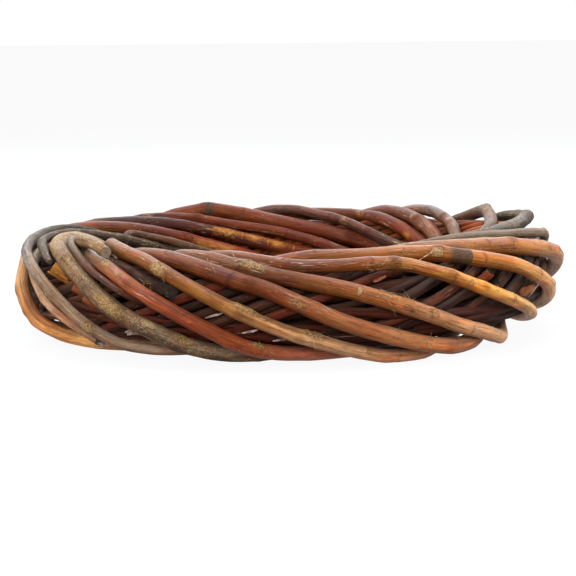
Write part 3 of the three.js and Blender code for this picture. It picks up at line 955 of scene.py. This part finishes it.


# Tones of each wound rod by ring angle, from the butt to the tip. Besides the bark's own colour they hold painted
# light and shade: darker tones where the rods' inner faces at the rear lie in shade, and paler ones where the rods
# turn at the right end and catch the light.
WOUND_BARK = {
    "rod_tan": {
        "stops": [
            (-100, "7c4a24"), (-58, "9e6428"), (-30, "c47e36"), (0, "dca46c"), (40, "a46c3c"), (76, "a25418"),
            (104, "602004"), (131, "481c08"), (200, "8a5a34"), (264, "88502a"), (284, "8c4814"), (312, "f4ac4a"),
            (334, "fccc8c"), (372, "c09060"),
        ],
        "bloom": 0.06, "specks": 0.5, "dirt": 0.5, "gloss": 0.5,
    },
    "rod_orange": {
        "stops": [
            (36, "72341a"), (76, "6e2c06"), (100, "803c0c"), (122, "7a4018"), (180, "85583a"), (240, "86491c"),
            (266, "7c3a0e"), (292, "ca8048"), (312, "ce8854"), (365, "602a14"), (405, "84360a"), (432, "6a320e"),
            (540, "8a6444"), (590, "98784e"),
        ],
        "bloom": 0.1, "specks": 0.3, "dirt": 0.4, "gloss": 0.48,
    },
    "rod_russet": {
        "stops": [
            (-190, "886653"), (-150, "b4906c"), (-134, "a6744c"), (-125, "a65624"), (-112, "9a4412"),
            (-94, "bc6034"), (-76, "f49c80"), (-40, "7c4630"), (10, "845c40"), (40, "684636"), (56, "94745c"),
            (100, "6c3010"), (148, "602c18"),
        ],
        "bloom": 0.08, "specks": 0.3, "dirt": 0.35, "gloss": 0.55, "shine": 0.09,
    },
    "rod_olive": {
        "stops": [
            (-218, "7c6c58"), (-165, "baa078"), (-141, "947048"), (-120, "947454"), (-104, "a6866c"),
            (-60, "3e2e24"), (-10, "463830"), (30, "463830"), (80, "4a3628"), (140, "3c2c22"), (180, "544236"),
            (211, "584636"),
        ],
        "bloom": 0.3, "specks": 0.6, "dirt": 0.55, "gloss": 0.3, "grain": 1.0, "lichen": 0.5, "damp": 0.8,
    },
    "rod_grey": {
        "stops": [
            (-36, "382c22"), (-10, "423830"), (6, "7c6a66"), (30, "886858"), (46, "684a3c"), (100, "342418"),
            (172, "342c24"), (198, "908880"), (216, "9a7858"), (238, "c8a688"), (300, "726250"), (340, "88745e"),
            (362, "b2987c"), (420, "7b6955"), (508, "6a4632"),
        ],
        "bloom": 0.25, "specks": 0.4, "dirt": 0.4, "gloss": 0.34, "grain": 0.8, "lichen": 0.12, "damp": 0.6,
    },
    "rod_honey": {
        "stops": [
            (50, "8e5d3b"), (94, "9c4c1a"), (106, "883006"), (122, "7a3006"), (140, "6c2c08"), (162, "8c5830"),
            (190, "d0aa7e"), (204, "e89c4a"), (220, "fcbc64"), (240, "e09c60"), (280, "8e6040"),
        ],
        "bloom": 0.05, "specks": 0.4, "dirt": 0.3, "gloss": 0.5,
    },
    "rod_banded": {
        "stops": [
            (-124, "6c3c1c"), (-84, "925220"), (-60, "b46c24"), (-42, "c87c28"), (-30, "f4b062"), (-15, "ffd4a8"),
            (5, "e8b082"), (40, "4c220e"), (80, "803a10"), (112, "7a3a10"), (128, "622c0e"), (142, "60381e"),
            (214, "704a36"),
        ],
        "bloom": 0.06, "specks": 0.45, "dirt": 0.4, "gloss": 0.5,
    },
    "rod_brown": {
        "stops": [
            (-158, "814d2c"), (-103, "7e4e28"), (-91, "6c340c"), (-74, "bc7234"), (-54, "e4a46c"), (-32, "e4b082"),
            (20, "5c3624"), (55, "4e2a18"), (76, "6c3c28"), (94, "74544c"), (140, "744f41"),
        ],
        "bloom": 0.1, "specks": 0.35, "dirt": 0.45, "gloss": 0.46, "streaks": 0.9,
    },
    "rod_amber": {
        "stops": [
            (148, "875535"), (206, "ba8c58"), (224, "986028"), (246, "844812"), (258, "b67830"), (274, "eab47e"),
            (292, "e29c6c"), (306, "c68858"), (334, "a57757"),
        ],
        "bloom": 0.04, "specks": 0.4, "dirt": 0.35, "gloss": 0.55,
    },
    "rod_pink": {
        "stops": [
            (-2, "6e4230"), (32, "82543a"), (48, "764230"), (60, "6e402c"), (76, "724e3a"), (130, "765143"),
            (190, "6a4834"), (214, "7a6040"), (228, "582810"), (238, "4e2004"),
        ],
        "bloom": 0.12, "specks": 0.3, "dirt": 0.3, "gloss": 0.45,
    },
    "rod_snapped": {
        "stops": [
            (178, "bcb4a8"), (204, "c8b088"), (218, "dea074"), (228, "aa8466"),
        ],
        "bloom": 0.2, "specks": 0.3, "dirt": 0.35, "gloss": 0.35, "grain": 0.8, "lichen": 0.15,
    },
    "rod_rough": {
        "stops": [
            (-150, "543822"), (-124, "502e14"), (-112, "2a1c0c"),
        ],
        "bloom": 0.0, "specks": 0.3, "dirt": 0.9, "gloss": 0.2, "grain": 1.6, "pits": 0.9,
    },
}

# The hoop's withies and the twigs: their tones in front, at the back, at the left and at the right, and their finish.
# They are drawn darker than the wound rods, as painted shade inside the bundle.
WITHY_TONES = ["6a3822", "4a261a", "7c4028", "523222", "42261a", "843c22", "603a28", "54301e"]
WITHY_BACK = ("c4662a", "a05626", "cc7632", "844a26")
WITHY_LEFT = ("865430", "5a4434", "744a30")
WITHY_RIGHT = "5e3c26"
WITHY_FINISH = {"streaks": 0.9, "bloom": 0.02, "specks": 0.1, "gloss": 0.3, "shine": 0.06}


def withy_stops(number):
    """Tones of the hoop's inner rods: dark and reddish in front and at the sides, orange-brown at the back."""
    front = WITHY_TONES[number % len(WITHY_TONES)]
    back = WITHY_BACK[number % len(WITHY_BACK)]
    left = WITHY_LEFT[number % len(WITHY_LEFT)]
    turn = [(-150, left), (-125, front), (-60, front), (-20, WITHY_RIGHT), (35, back), (95, back), (140, left)]
    return [(start + ring, shade) for start in (-360, 0, 360) for ring, shade in turn]


tree = bark_tree()
pale_wood = cut_wood("cut wood", "a88a68", "7e6044")
# Dark cut wood for ends out of sight inside the bundle, painted shade.
dark_wood = cut_wood("weathered cut wood", "50382a", "2e1e15")


# Scars and marks of each rod: ring angle, turn (0 is up, 90 to the viewer at the front), length and breadth in
# millimetres, and kind.
SCARS = {
    "rod_tan": [
        (110, -60, 10, 3, RUBBED),
        (101, -50, 7, 2.5, RUBBED),
        (93, -60, 5, 2.5, RUBBED),
        (80, -60, 6, 2.5, RUBBED),
        (292, 92, 4, 4.4, DARK_JOINT),
        (307, 95, 2.5, 3, RINGED_KNOT),
        (319, 78, 2, 3, RINGED_KNOT),
        (-34, 79, 2.0, 2.6, RINGED_KNOT),
        (-12, 60, 2, 2.5, RINGED_KNOT),
    ],
    "rod_orange": [
        (112, -76, 2.5, 8, BAND),
        (272, 88, 5, 3.4, RINGED_KNOT),
        (427, -60, 3, 3, RINGED_KNOT),
        (406, -92, 4, 2.5, RUBBED),
        (578, 50, 9, 1.6, CRUST),
        (586, 20, 7, 1.4, CRUST),
        (584, 85, 5, 1.2, CRUST),
    ],
    "rod_russet": [
        (-126, 45, 3.4, 2.6, RINGED_KNOT),
        (-131, 30, 7, 2.4, CRUST),
        (28, -30, 3, 3, RINGED_KNOT),
        (-97, 50, 5, 1.8, CRUST),
        (-80, 60, 3, 2, RINGED_KNOT),
    ],
    "rod_olive": [
        (-119, 38, 4.6, 2.6, LEAF_SCAR),
        (-127, 60, 12, 4.5, CRUST),
        (-112, 50, 7, 3.5, CRUST),
        (-150, 70, 5, 3, CRUST),
        (20, 60, 3, 3, RINGED_KNOT),
    ],
    "rod_grey": [
        (15, -40, 3.5, 3.5, RINGED_KNOT),
        (216, 105, 3, 3.5, RINGED_KNOT),
        (226, 90, 4, 3.5, CRUST),
        (348, 60, 3, 3, RINGED_KNOT),
    ],
    "rod_honey": [
        (114, -90, 18, 3.8, RUBBED),
        (206, 60, 4, 2, RUBBED),
    ],
    "rod_banded": [
        (-57.5, 79, 3.4, 2.8, LEAF_SCAR),
        (-52.6, 60, 6.6, 9, BAND),
        (-22, 60, 2, 3, RINGED_KNOT),
        (130, -60, 3, 3, RINGED_KNOT),
    ],
    "rod_brown": [
        (-77, 72, 1.4, 3, LEAF_SCAR),
        (-62, 75, 4, 4.4, RINGED_KNOT),
        (-97, 45, 8, 2.4, CRUST),
        (-70, 35, 12, 2, RUBBED),
        (70, -60, 3, 3, RINGED_KNOT),
    ],
    "rod_amber": [
        (244, 62, 7, 4.2, CRUST),
        (261, 28, 9, 3.2, CRUST),
        (274, 34, 7, 3, CRUST),
        (286, 60, 2, 2.5, RINGED_KNOT),
    ],
    "rod_pink": [
        (46, -60, 3, 3, RINGED_KNOT),
    ],
}
for name, scars in SCARS.items():
    rods[name].scars = scars
rods["rod_pink"].tuck(0.018, 0.2)
rods["rod_grey"].tuck(0.016, 0.7)
rods["rod_orange"].thin_tip(0.03, 0.74)
rods["rod_olive"].thin_tip(0.02, 0.5)


# Heights of the bark's relief, in metres.
JOINT_SWELLING = 0.0003
LUMP_HEIGHT = 0.0007
WRINKLE_HEIGHT = 0.0003
KNOT_HEIGHT = 0.0011


def dress(piece_name, strands, material, sides, joint_gap, seed, relief, buds, end, crags=0.0):
    """Draws the bark of one or more strands as a piece of its own."""
    longest = max(strand.length for strand in strands)
    joints = max(3, round(longest / joint_gap) + 1)
    piece = drawn(
        guide(piece_name, strands),
        piece_name,
        tree,
        {
            "Sides": sides,
            "Joints": joints,
            "Joint Spacing": longest / (joints - 1),
            "Joint Swelling": JOINT_SWELLING * relief,
            "Bud Size": buds,
            "Lump Height": LUMP_HEIGHT * relief,
            "Wrinkle Height": WRINKLE_HEIGHT * relief,
            "Knot Height": KNOT_HEIGHT,
            "Crag Height": crags,
            "Seed": float(seed),
            "Bark": material,
            "Cut Wood": end,
        },
    )
    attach(piece, "root")
    return piece


# Distance between joints and size of buds on the wound rods, the withies, the twigs and the stubs.
WOUND_JOINTS, WOUND_BUDS = 0.042, 0.0009
WITHY_JOINTS, WITHY_BUDS = 0.05, 0.0008
TWIG_JOINTS, TWIG_BUDS = 0.06, 0.0009
STUB_JOINTS, STUB_BUDS = 0.03, 0.0008
TWIG_SIDES = 8
STUB_SIDES = 12

# Height of rough bark, share of the usual relief, and rods whose cut end is hidden inside the bundle and drawn dark,
# as painted shade.
ROUGHNESS = {"rod_rough": 0.0052, "rod_olive": 0.0004, "rod_grey": 0.0002}
EVENNESS = {"rod_honey": 0.4, "rod_olive": 1.3, "rod_rough": 1.6}
HIDDEN_ENDS = ("rod_rough", "rod_pink", "rod_snapped", "rod_grey", "rod_amber", "rod_olive")
for number, (name, finish) in enumerate(WOUND_BARK.items()):
    seed = number * 3.7
    piece = dress(
        name + "_bark",
        [rods[name]],
        bark(name.replace("rod_", "") + " bark", seed=seed, **finish),
        WOUND_SIDES,
        WOUND_JOINTS,
        seed,
        EVENNESS.get(name, 1.0),
        WOUND_BUDS,
        dark_wood if name in HIDDEN_ENDS else pale_wood,
        ROUGHNESS.get(name, 0.0),
    )
    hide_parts(name)

for number, name in enumerate(sorted(n for n in rods if not n.startswith("rod_"))):
    rod = rods[name]
    seed = 20 + number * 2.3
    stops = withy_stops(number)
    low, high = rod.ring.min() - 30, rod.ring.max() + 30
    stops = [(ring, shade) for ring, shade in stops if low < ring < high]
    # The withies' bark is drawn at a lower depth than the wound rods', as painted shade inside the bundle.
    material = bark(name.replace("_", " ") + " bark", stops, seed, dirt=0.5, dust=0.1, depth=0.28, **WITHY_FINISH)
    sides = WITHY_SIDES if name.startswith("hoop") else HEART_SIDES
    piece = dress(
        name + "_bark", [rod], material, sides, WITHY_JOINTS, seed, 0.7, WITHY_BUDS, dark_wood
    )
    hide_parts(name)


# Thin twigs that were laid in with the hoop and fill the gaps between its rods.


class Body:
    """The bundle's section at each ring angle, out of the wound rods' middle lines."""

    def __init__(self):
        points = np.concatenate([rods[name].points for name in WOUND_BARK])
        ring = np.degrees(np.arctan2(points[:, 1], points[:, 0])) % 360
        out = np.hypot(points[:, 0], points[:, 1])
        sides = []
        for centre in range(0, 360, 10):
            near = np.abs((ring - centre + 180) % 360 - 180) < 9
            sides.append([out[near].min(), out[near].max(), points[near, 2].min(), points[near, 2].max()])
        sides = np.array(sides)
        self.sides = (np.roll(sides, 1, axis=0) + 2 * sides + np.roll(sides, -1, axis=0)) / 4

    def at(self, ring, turn, inset):
        """The point at a ring angle and a turn round the section, some way in from the wound rods' lines."""
        places = np.arange(37) * 10
        inner, outer, low, high = (
            np.interp(np.asarray(ring) % 360, places, np.append(side, side[0])) for side in self.sides.T
        )
        reach = (outer - inner) / 2 - inset
        rise = (high - low) / 2 - inset
        distance = (outer + inner) / 2 + reach * np.cos(turn)
        angle = np.radians(ring)
        height = (high + low) / 2 + rise * np.sin(turn)
        return np.stack([distance * np.cos(angle), distance * np.sin(angle), height], axis=-1)


body = Body()
chance = np.random.default_rng(11)
TWIG_GROUPS = 4
TWIGS_EACH = 9
FLOOR_TWIGS = 14


def twig(starts, sweep, turn, turns, inset, thick):
    """A thin rod that wanders a little as it winds inside the bundle."""
    share = np.linspace(0, 1, max(12, round(sweep * 0.45)))
    wander = 0.25 * np.sin(share * chance.uniform(9, 16) + chance.uniform(0, 6))
    depth = inset + 0.0012 * np.sin(share * chance.uniform(14, 22) + chance.uniform(0, 6))
    line = body.at(starts + sweep * share, turn + turns * share + wander, depth)
    return Strand("twig", line, thick * (1.0 - 0.35 * share), starts)


def twig_bark(name, number, depth=0.25):
    stops = withy_stops(number)
    # Twigs too are drawn darker, as painted shade inside the bundle.
    return bark(name, stops, 60 + number * 3.1, dirt=0.4, dust=0.12, depth=depth, **WITHY_FINISH)


def dress_twigs(name, strands, material, seed):
    dress(name, strands, material, TWIG_SIDES, TWIG_JOINTS, seed, 0.5, TWIG_BUDS, dark_wood)


for group in range(TWIG_GROUPS):
    strands = []
    for number in range(TWIGS_EACH):
        sweep = chance.uniform(130, 300)
        turns = math.radians(sweep) * chance.uniform(2.2, 4.2)
        starts, turn = chance.uniform(-180, 180), chance.uniform(0, 2 * math.pi)
        inset, thick = chance.uniform(0.0062, 0.0105), chance.uniform(0.0014, 0.0024)
        strands.append(twig(starts, sweep, turn, turns, inset, thick))
    material = twig_bark(f"twig bark {group + 1}", group * 2 + 1)
    dress_twigs(f"thin_twigs_{group + 1}", strands, material, 60 + group * 3.1)

# Longer twigs low in the bundle, which close it from below, drawn darkest as painted shade.
low_twigs = []
for number in range(FLOOR_TWIGS):
    starts, turns = chance.uniform(-180, 180), chance.uniform(-0.5, 0.5)
    turn = math.radians(-165 + 150 * number / (FLOOR_TWIGS - 1))
    low_twigs.append(twig(starts, 350, turn, turns, 0.0075, 0.0026))
dress_twigs("low_twigs", low_twigs, twig_bark("low twig bark", 5, 0.17), 91.0)


def bent(corners, thick, spacing=0.0016):
    """A short strand through a few corners, given in millimetres."""
    line = smooth_through(np.array(corners, float) / 1000, spacing)
    return Strand("stub", line, np.full(len(line), thick))


# Short rods seen in the gaps, as corners in millimetres, with their radius and tone: three brown ones at the left, a
# red one with a hooked end at the right, and four dark ones.
STUBS = {
    "stub_amber": (0.0034, "d08a34", [[(-119.5, -79, 43.6), (-112.7, -79.5, 39.5), (-106.5, -80, 35)]]),
    "stub_brown": (
        0.0025,
        "a4562a",
        [
            [(-107, -92, 35.5), (-104.2, -93, 33.8), (-98.1, -93.5, 30.1), (-95, -94, 28)],
            [(-101, -101, 31), (-98.3, -102, 29.6), (-93.3, -102, 26.4), (-90, -102, 24.5)],
        ],
    ),
    "stub_red": (
        0.0024,
        "8c3c1c",
        [
            [
                (66, -100, 24), (73.7, -101, 26.6), (81.7, -101, 29),
                (89.6, -101, 33), (95.6, -101, 37.4), (100.5, -100.5, 41),
            ],
        ],
    ),
    "short_twigs": (
        0.0024,
        "5a3420",
        [
            [(-108, -80, 18), (-115, -70, 17.5), (-121, -60, 17), (-126, -46, 15), (-129.5, -28, 13.5)],
            [(-100, -77, 14), (-93, -84, 13), (-86, -90, 12.3), (-79, -96, 12), (-71, -102, 11)],
            [(38, -115, 5), (47, -111.5, 4.6), (55, -108, 4.2), (64, -103, 4), (74, -96, 4.5)],
            [(124, -50, 44), (130, -36, 46.5), (134.4, -20, 48), (136.5, -4, 48), (136, 14, 47)],
        ],
    ),
}
for number, (name, (thick, shade, lines)) in enumerate(STUBS.items()):
    stops = [(-180, shade), (180, shade)]
    material = bark(name.replace("_", " "), stops, 80 + number, streaks=0.8, bloom=0.05, dirt=0.4, gloss=0.5)
    strands = [bent(line, thick) for line in lines]
    seed = 80.0 + number
    dress(name, strands, material, STUB_SIDES, STUB_JOINTS, seed, 0.6, STUB_BUDS, pale_wood)


# Dry fibres and peeled strips.


def fibre_tree():
    """Geometry Nodes that give thin lines their thickness."""
    tree = bpy.data.node_groups.new("dry fibre", "GeometryNodeTree")
    sockets = {"Geometry": "NodeSocketGeometry", "Sides": "NodeSocketInt", "Fibre": "NodeSocketMaterial"}
    for label, kind in sockets.items():
        tree.interface.new_socket(label, in_out="INPUT", socket_type=kind)
    tree.interface.new_socket("Geometry", in_out="OUTPUT", socket_type="NodeSocketGeometry")
    r = Recipe(tree)
    given = tree.nodes.new("NodeGroupInput").outputs
    line = r.add("GeometryNodeMeshToCurve", Mesh=given["Geometry"]).outputs[0]
    circle = r.add("GeometryNodeCurvePrimitiveCircle", Resolution=given["Sides"], Radius=1.0).outputs[0]
    tube = r.add("GeometryNodeCurveToMesh", i0=line, i1=circle, i2=named(r, "thickness"), i3=True).outputs[0]
    real = r.add("GeometryNodeRealizeInstances", i0=tube).outputs[0]
    made = r.add("GeometryNodeSetMaterial", Geometry=real, Material=given["Fibre"]).outputs[0]
    out = tree.nodes.new("NodeGroupOutput")
    tree.links.new(made, out.inputs[0])
    return tree


def dry_fibre(name, light, shadow):
    material, r = shader(name)
    place = r.add("ShaderNodeTexCoord").outputs["Object"]
    mottle = r.grain(place, (600, 600, 600), 3.0)
    finish_shader(
        r,
        Base_Color=r.blend(mottle.ramp(0.35, 0.65), tone(shadow, BARK_DEPTH), tone(light, BARK_DEPTH)),
        Roughness=0.7 + mottle * 0.2,
        Specular_IOR_Level=0.3,
    )
    return material


def surface_spot(rod, ring, turn, proud=0.0):
    """A place on a rod's bark, with the way out of it and the way along it."""
    place = rod.place_at_ring(ring)
    ahead, out = rod.side_at(place, turn)
    at = min(int(np.searchsorted(rod.along, place)), len(rod.points) - 1)
    return rod.points[at] + out * (rod.radii[at] + proud), out, ahead


# Tufts: rod, ring angle, turn, how many fibres, their length and thickness in millimetres.
TUFTS = [
    ("rod_brown", -100, 15, 16, 7, 0.22),
    ("rod_brown", -97, 25, 12, 6, 0.2),
    ("rod_orange", 253.5, 5, 12, 5, 0.2),
    ("rod_amber", 245, 70, 8, 4, 0.2),
    ("rod_amber", 264, 40, 6, 4, 0.22),
    ("rod_amber", 275, 45, 8, 4.5, 0.25),
    ("rod_russet", -96, 70, 6, 6, 0.18),
    ("rod_russet", -99, 70, 6, 5, 0.18),
    ("rod_orange", 297, 65, 9, 6, 0.17),
    ("rod_orange", 291, 50, 6, 6, 0.15),
    ("rod_brown", -72, 40, 16, 8, 0.14),
    ("rod_brown", -67, 35, 12, 8, 0.14),
    ("rod_tan", 290, 130, 6, 6, 0.2),
    ("rod_banded", -58, 60, 6, 4, 0.18),
    ("rod_olive", -121, 50, 6, 3, 0.2),
    ("rod_grey", 228, 95, 8, 4, 0.18),
    ("rod_rough", -120, 60, 18, 3, 0.25),
    ("rod_rough", -135, 60, 18, 3, 0.25),
]
fibres = []
for name, ring, turn, count, long, thick in TUFTS:
    for number in range(count):
        at_ring, at_turn = ring + chance.normal(0, 1.2), turn + chance.normal(0, 22)
        start, out, ahead = surface_spot(rods[name], at_ring, at_turn, -0.0001)
        side = np.cross(out, ahead)
        way = ahead * chance.choice([-1, 1]) + side * chance.normal(0, 0.5) + out * chance.uniform(0.05, 0.5)
        way /= np.linalg.norm(way)
        curl = side * chance.normal(0, 0.7) - out * chance.uniform(-0.1, 0.5)
        share = np.linspace(0, 1, 7)[:, None]
        line = start + long / 1000 * chance.uniform(0.4, 1.0) * (way * share + curl * share**2 * 0.5)
        line[:, 2] = np.maximum(line[:, 2], 0.0004)
        fibres.append(Strand("fibre", line, thick / 1000 * np.linspace(1.0, 0.35, 7)))
# One straight red thread from rod to rod.
start, end = surface_spot(rods["rod_tan"], 296.5, 20)[0], surface_spot(rods["rod_banded"], -57, 30)[0]
fibres.append(Strand("fibre", start + (end - start) * np.linspace(-0.1, 1, 9)[:, None], np.full(9, 0.00022)))
fibre_inputs = {"Sides": 5, "Fibre": dry_fibre("dry fibre", "dcb484", "7a4a2a")}
piece = drawn(guide("dry_fibres", fibres), "dry_fibres", fibre_tree(), fibre_inputs)
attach(piece, "root")


# Half the thickness of peeled bark.
STRIP_HALF = 0.00018


def strip(name, corners, width, tilt, material):
    """A thin strip of peeled bark through a few corners in millimetres, cupped across its width."""
    line = smooth_through(np.array(corners, float) / 1000, 0.0012)
    ahead = np.gradient(line, axis=0)
    ahead /= np.linalg.norm(ahead, axis=1)[:, None]
    upward = np.array([math.sin(math.radians(tilt)), 0, math.cos(math.radians(tilt))])
    side = upward - ahead * (ahead @ upward)[:, None]
    side /= np.linalg.norm(side, axis=1)[:, None]
    face = np.cross(ahead, side)
    share = np.linspace(0, 1, len(line))
    half = width / 2000 * np.sin(np.pi * np.clip(share * 0.86 + 0.1, 0, 1)) ** 0.5  # Millimetres to metres, halved.
    half = half * (1 + 0.12 * np.sin(share * 37) + 0.08 * np.sin(share * 71))
    corners, faces = [], []
    across = (-1, -0.5, 0, 0.5, 1, 1, 0.5, 0, -0.5, -1)
    for at, wide in enumerate(half):
        for number, step in enumerate(across):
            cup = (step * step - 0.4) * wide * 0.35 + (STRIP_HALF if number < 5 else -STRIP_HALF)
            corners.append(line[at] + side[at] * step * wide + face[at] * cup)
    count = len(across)
    for at in range(len(half) - 1):
        for number in range(count):
            a, b = at * count + number, at * count + (number + 1) % count
            faces.append((a, b, b + count, a + count))
    faces.append(tuple(range(count - 1, -1, -1)))
    faces.append(tuple(range((len(half) - 1) * count, len(half) * count)))
    mesh = bpy.data.meshes.new(name)
    mesh.from_pydata([tuple(map(float, corner)) for corner in corners], [], faces)
    mesh.materials.append(material)
    mesh.update()
    piece = in_scene(name, mesh)
    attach(piece, "root")


peel = dry_fibre("peeled bark", "d8b4a4", "8a6456")
brown_peel = dry_fibre("brown peeled bark", "bc6a38", "8a4420")
# Peeled bark in the gaps: its corners and width in millimetres, its tilt and its kind.
PEELINGS = {
    "peeled_strip_1": ([(-79.5, -116, 15), (-74.5, -116.5, 16), (-69, -116, 14.7), (-62.5, -116, 14)], 3.2, 20, peel),
    "peeled_strip_2": ([(-98, -94, 8.6), (-93.3, -95, 6.8), (-88.5, -94, 8.4)], 3.0, -20, peel),
    "peeled_strip_3": ([(-80.5, -117, 15.6), (-77.4, -117.2, 17.4), (-74.2, -117, 19.4)], 0.9, 10, peel),
    "peeled_strip_4": ([(118, -72, 27), (122.4, -72.5, 29), (126.5, -72, 31)], 4.2, 20, brown_peel),
    "peeled_strip_5": ([(122.8, -73.5, 25.5), (125.6, -73.8, 29), (128.4, -73.5, 32.7)], 0.8, 10, peel),
    "peeled_flake_1": ([(-40, -138.5, 25.4), (-35.7, -138.5, 26.6), (-31.4, -138.5, 27.7)], 1.1, 15, peel),
    "peeled_flake_2": ([(-22.3, -141, 18.3), (-18.5, -141, 19), (-14.6, -141, 19.7)], 1.1, 15, peel),
    "peeled_flake_3": ([(-7.5, -139, 14), (-3.6, -139, 14.6), (0.7, -139, 15.3)], 1.1, 15, peel),
    "peeled_flake_4": ([(14.3, -133, 17.7), (17.2, -133, 19.2), (20.6, -133, 20.6)], 1.1, 15, peel),
    "peeled_strip_6": ([(41.5, -129, 41.2), (44.3, -129.5, 42.3), (47.4, -129, 43.8)], 1.6, -10, brown_peel),
}
for name, (corners, width, tilt, material) in PEELINGS.items():
    strip(name, corners, width, tilt, material)


# The floor, the light and the camera.


FLOOR_REACH = 30.0
FLOOR_GLOW = 0.92
SENSOR_WIDTH = 36.0
LAMP_COLOUR = (0.94, 1.0, 1.1)

# Each lamp's place, the point that it faces, its size and its power in watts.
LAMPS = {
    "overhead": ((0.0, 0.25, 1.4), (0, 0, 0.03), (1.8, 1.2), 66.0),
    "front": ((-0.4, -1.6, 0.7), (0, 0, 0.03), (1.2, 0.8), 44.0),
    "back": ((0.1, 1.6, 0.9), (0, 0, 0.03), (1.6, 0.5), 22.0),
    "left": ((-1.5, -0.1, 0.55), (-0.1, 0, 0.03), (0.7, 1.0), 26.0),
    "right": ((1.5, -0.1, 0.55), (0.1, 0, 0.03), (0.7, 1.0), 42.0),
}


def stage():
    floor = bpy.data.meshes.new("floor")
    side = FLOOR_REACH
    floor.from_pydata([(-side, -side, 0), (side, -side, 0), (side, side, 0), (-side, side, 0)], [], [(0, 1, 2, 3)])
    ground = in_scene("floor", floor)
    material, r = shader("pale floor")
    finish_shader(
        r,
        Base_Color=(0.03, 0.03, 0.03, 1),
        Roughness=1.0,
        Emission_Color=(1, 1, 1, 1),
        Emission_Strength=FLOOR_GLOW,
        Specular_IOR_Level=0.0,
    )
    floor.materials.append(material)


def lamp(name, place, aim, size, power):
    light = bpy.data.lights.new(name, "AREA")
    light.shape = "RECTANGLE"
    light.size, light.size_y = size
    light.energy = power
    light.color = LAMP_COLOUR
    holder = in_scene(name, light)
    holder.location = place
    holder.rotation_euler = (Vector(aim) - Vector(place)).to_track_quat("-Z", "Y").to_euler()


def camera():
    eye = bpy.data.cameras.new("camera")
    eye.sensor_width = SENSOR_WIDTH
    eye.lens = FOCAL_PIXELS / PHOTO_WIDTH * SENSOR_WIDTH
    eye.clip_end = 200.0
    holder = in_scene("camera", eye)
    angle = math.radians(CAMERA_ELEVATION)
    back = Vector((0.0, -math.cos(angle), math.sin(angle)))
    aim = Vector((0.0, 0.0, CAMERA_AIM))
    turn = (-back).to_track_quat("-Z", "Y").to_matrix().to_4x4()
    lean = Matrix.Rotation(math.radians(CAMERA_ROLL), 4, "Z")
    holder.matrix_world = Matrix.Translation(aim + back * CAMERA_DISTANCE) @ turn @ lean
    bpy.context.scene.camera = holder


stage()
for name, (place, aim, size, power) in LAMPS.items():
    lamp(name, place, aim, size, power)
world = bpy.data.worlds.new("white room")
world.use_nodes = True
backing = world.node_tree.nodes["Background"]
backing.inputs[0].default_value = (1, 1, 1, 1)
backing.inputs[1].default_value = 1.0
bpy.context.scene.view_settings.view_transform = "Standard"
bpy.context.scene.world = world
camera()
